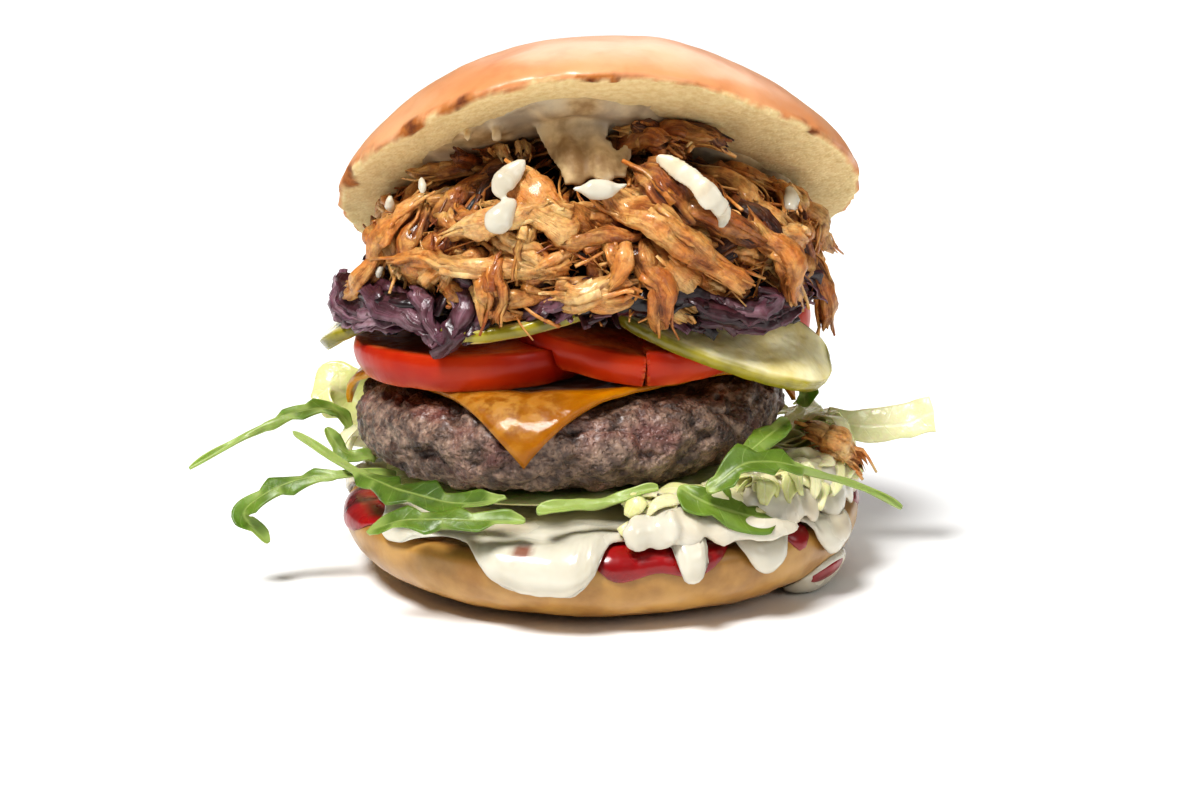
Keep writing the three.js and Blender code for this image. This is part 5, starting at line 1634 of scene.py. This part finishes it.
LETTUCE_STRIPS = (
    ("lettuce_left", ((-50, 19, 27), (-56, 19, 32), (-62, 18, 37), (-66, 17, 34)), torn_edge(0, 13),
     (-0.4, -1, 0.5), 1.8),
    ("lettuce_right", ((47, 6, 30), (55, 5, 29), (64, 4, 30), (72, 3, 32)), lambda u, v: 6.5 + 3 * u,
     (0, -1, 0.5), 0.9),
)


def lettuce_strip(index, node, points, wide, facing, crumple):
    """One of the strips that stick out."""
    pile = Pile()
    leaf_bit(pile, index, points, wide, facing, crumple, (50, 21))
    pile.spots = [moved_to(pile.spots[0], node)]
    return pile.piece(node + "_leaf", LETTUCE, [node])


# Sauce that ran down beside the bottom bun

# From and to are in degrees from the front, top and foot are runs along the section of the bun.
DRIP = {"from": 55, "to": 76, "top": 64.5, "foot": 78, "thickness": 3.4}


def clinging(u, v, height):
    """Spots at a height off the underside of the bun, for shares of the drip's width and fall."""
    middle, fall = (DRIP["top"] + DRIP["foot"]) / 2, DRIP["foot"] - DRIP["top"]
    run = middle + (v - 0.5) * fall * (1 - 0.7 * (2 * u - 1) ** 4)
    angle = np.radians(DRIP["from"] + (DRIP["to"] - DRIP["from"]) * u - 90)
    radius, level = HEEL.off(run, height)
    return unround(polar(radius, angle, np.maximum(0.1, level)))


def sauce_drip():
    """A white drop with a hollow, and a red streak that lies in it."""
    u, v = np.meshgrid(np.linspace(0, 1, 41), np.linspace(0, 1, 25), indexing="ij")
    dome = np.sqrt(np.maximum(0.001, np.sin(math.pi * u) * np.sin(math.pi * v)))
    hollow = np.exp(-((u - 0.38) / 0.28) ** 2 - ((v - 0.2) / 0.18) ** 2)
    outer = clinging(u, v, 0.5 + DRIP["thickness"] * dome * (1.08 - 0.5 * hollow))
    inner = clinging(u, v, 0.3 + 0 * u)
    half = (outer - inner) / 2
    spots, faces = two_sided((outer + inner) / 2, unit(half), 2 * np.linalg.norm(half, axis=-1))
    white = Pile()
    white.add(spots, faces, thin=both_faces(0.25 * hollow))
    white.piece("sauce_drip_white", MAYO, ["sauce_drip"])
    inside_u, inside_v = 0.07 + 0.62 * u, 0.06 + (0.34 - 0.18 * u) * v
    low = 0.5 + DRIP["thickness"] * np.sqrt(np.sin(math.pi * inside_u) * np.sin(math.pi * inside_v)) * 0.55
    middle = clinging(inside_u, inside_v, low + 0.3)
    normal = unit(clinging(inside_u, inside_v, low + 1.3) - middle)
    streak, faces = two_sided(middle, normal, 0.1 + 1.3 * dome)
    red = Pile()
    red.add(streak, faces)
    red.piece("sauce_drip_red", KETCHUP, ["sauce_drip"])


bottom_bun()
top_bun()
ketchup_layer()
mayo_layer()
mayo_smear()
beef_patty()
cheese_slice()
for slice_facts in TOMATOES:
    tomato_slice(**slice_facts)
for slice_facts in PICKLES:
    pickle_slice(**slice_facts)
cabbage_heap()
pork_drops(pork_heap())
pork_bit()
lettuce_heap()
lettuce_mayo()
for index, strip_facts in enumerate(LETTUCE_STRIPS):
    lettuce_strip(index, *strip_facts)
for index, leaf_facts in enumerate(ROCKET_LEAVES):
    rocket_leaf(index, **leaf_facts)
sauce_drip()


# Floor, light and camera

# Half the side of the floor, and the spot that the lamps look at, in metres
FLOOR_HALF = 3
LIT_SPOT = (0, 0, 0.06)
SKY_STRENGTH = 0.12


def soft_light(name, kind, place, power, **settings):
    """A lamp that looks at the middle of the burger."""
    lamp = bpy.data.lights.new(name, kind)
    lamp.energy = power
    for label, value in settings.items():
        setattr(lamp, label, value)
    made = bpy.data.objects.new(name, lamp)
    bpy.context.scene.collection.objects.link(made)
    made.location = place
    aim = np.array(LIT_SPOT) - np.array(place)
    tip = math.acos(-aim[2] / np.linalg.norm(aim))
    made.rotation_euler = (tip, 0, math.atan2(aim[1], aim[0]) - math.pi / 2)


def pale_floor():
    made = Finish("floor", "", Roughness=0.6)
    made.colour(mottled(made.tree, "FBFBFA", "FEFEFD", 3.0, 2.0)["Colour"])
    corners = [(FLOOR_HALF * x, FLOOR_HALF * y, 0) for x, y in ((-1, -1), (1, -1), (1, 1), (-1, 1))]
    mesh = bpy.data.meshes.new("floor")
    mesh.from_pydata(corners, [], [(0, 1, 2, 3)])
    floor = bpy.data.objects.new("floor", mesh)
    bpy.context.scene.collection.objects.link(floor)
    floor.data.materials.append(made.material)


def studio():
    scene = bpy.context.scene
    camera = bpy.data.cameras.new("camera")
    camera.lens = CAMERA_LENS
    camera.sensor_width = CAMERA_SENSOR
    scene.camera = bpy.data.objects.new("camera", camera)
    scene.collection.objects.link(scene.camera)
    scene.camera.location = (0, -CAMERA_DISTANCE * MM, CAMERA_HEIGHT * MM)
    scene.camera.rotation_euler = (math.pi / 2 - CAMERA_PITCH, 0, 0)
    world = bpy.data.worlds.new("studio")
    scene.world = world
    world.use_nodes = True
    sky = world.node_tree.nodes["Background"]
    sky.inputs["Color"].default_value = (1, 1, 1, 1)
    sky.inputs["Strength"].default_value = SKY_STRENGTH
    soft_light("key", "SUN", (-0.28, -0.42, 0.9), 3.5, angle=math.radians(18))
    soft_light("fill", "AREA", (0.6, -0.6, 0.5), 1.2, size=0.4)
    soft_light("back", "AREA", (0.1, 0.8, 0.7), 2.5, size=0.7)
    scene.view_settings.view_transform = "Standard"
    scene.view_settings.look = "Medium High Contrast"


pale_floor()
studio()
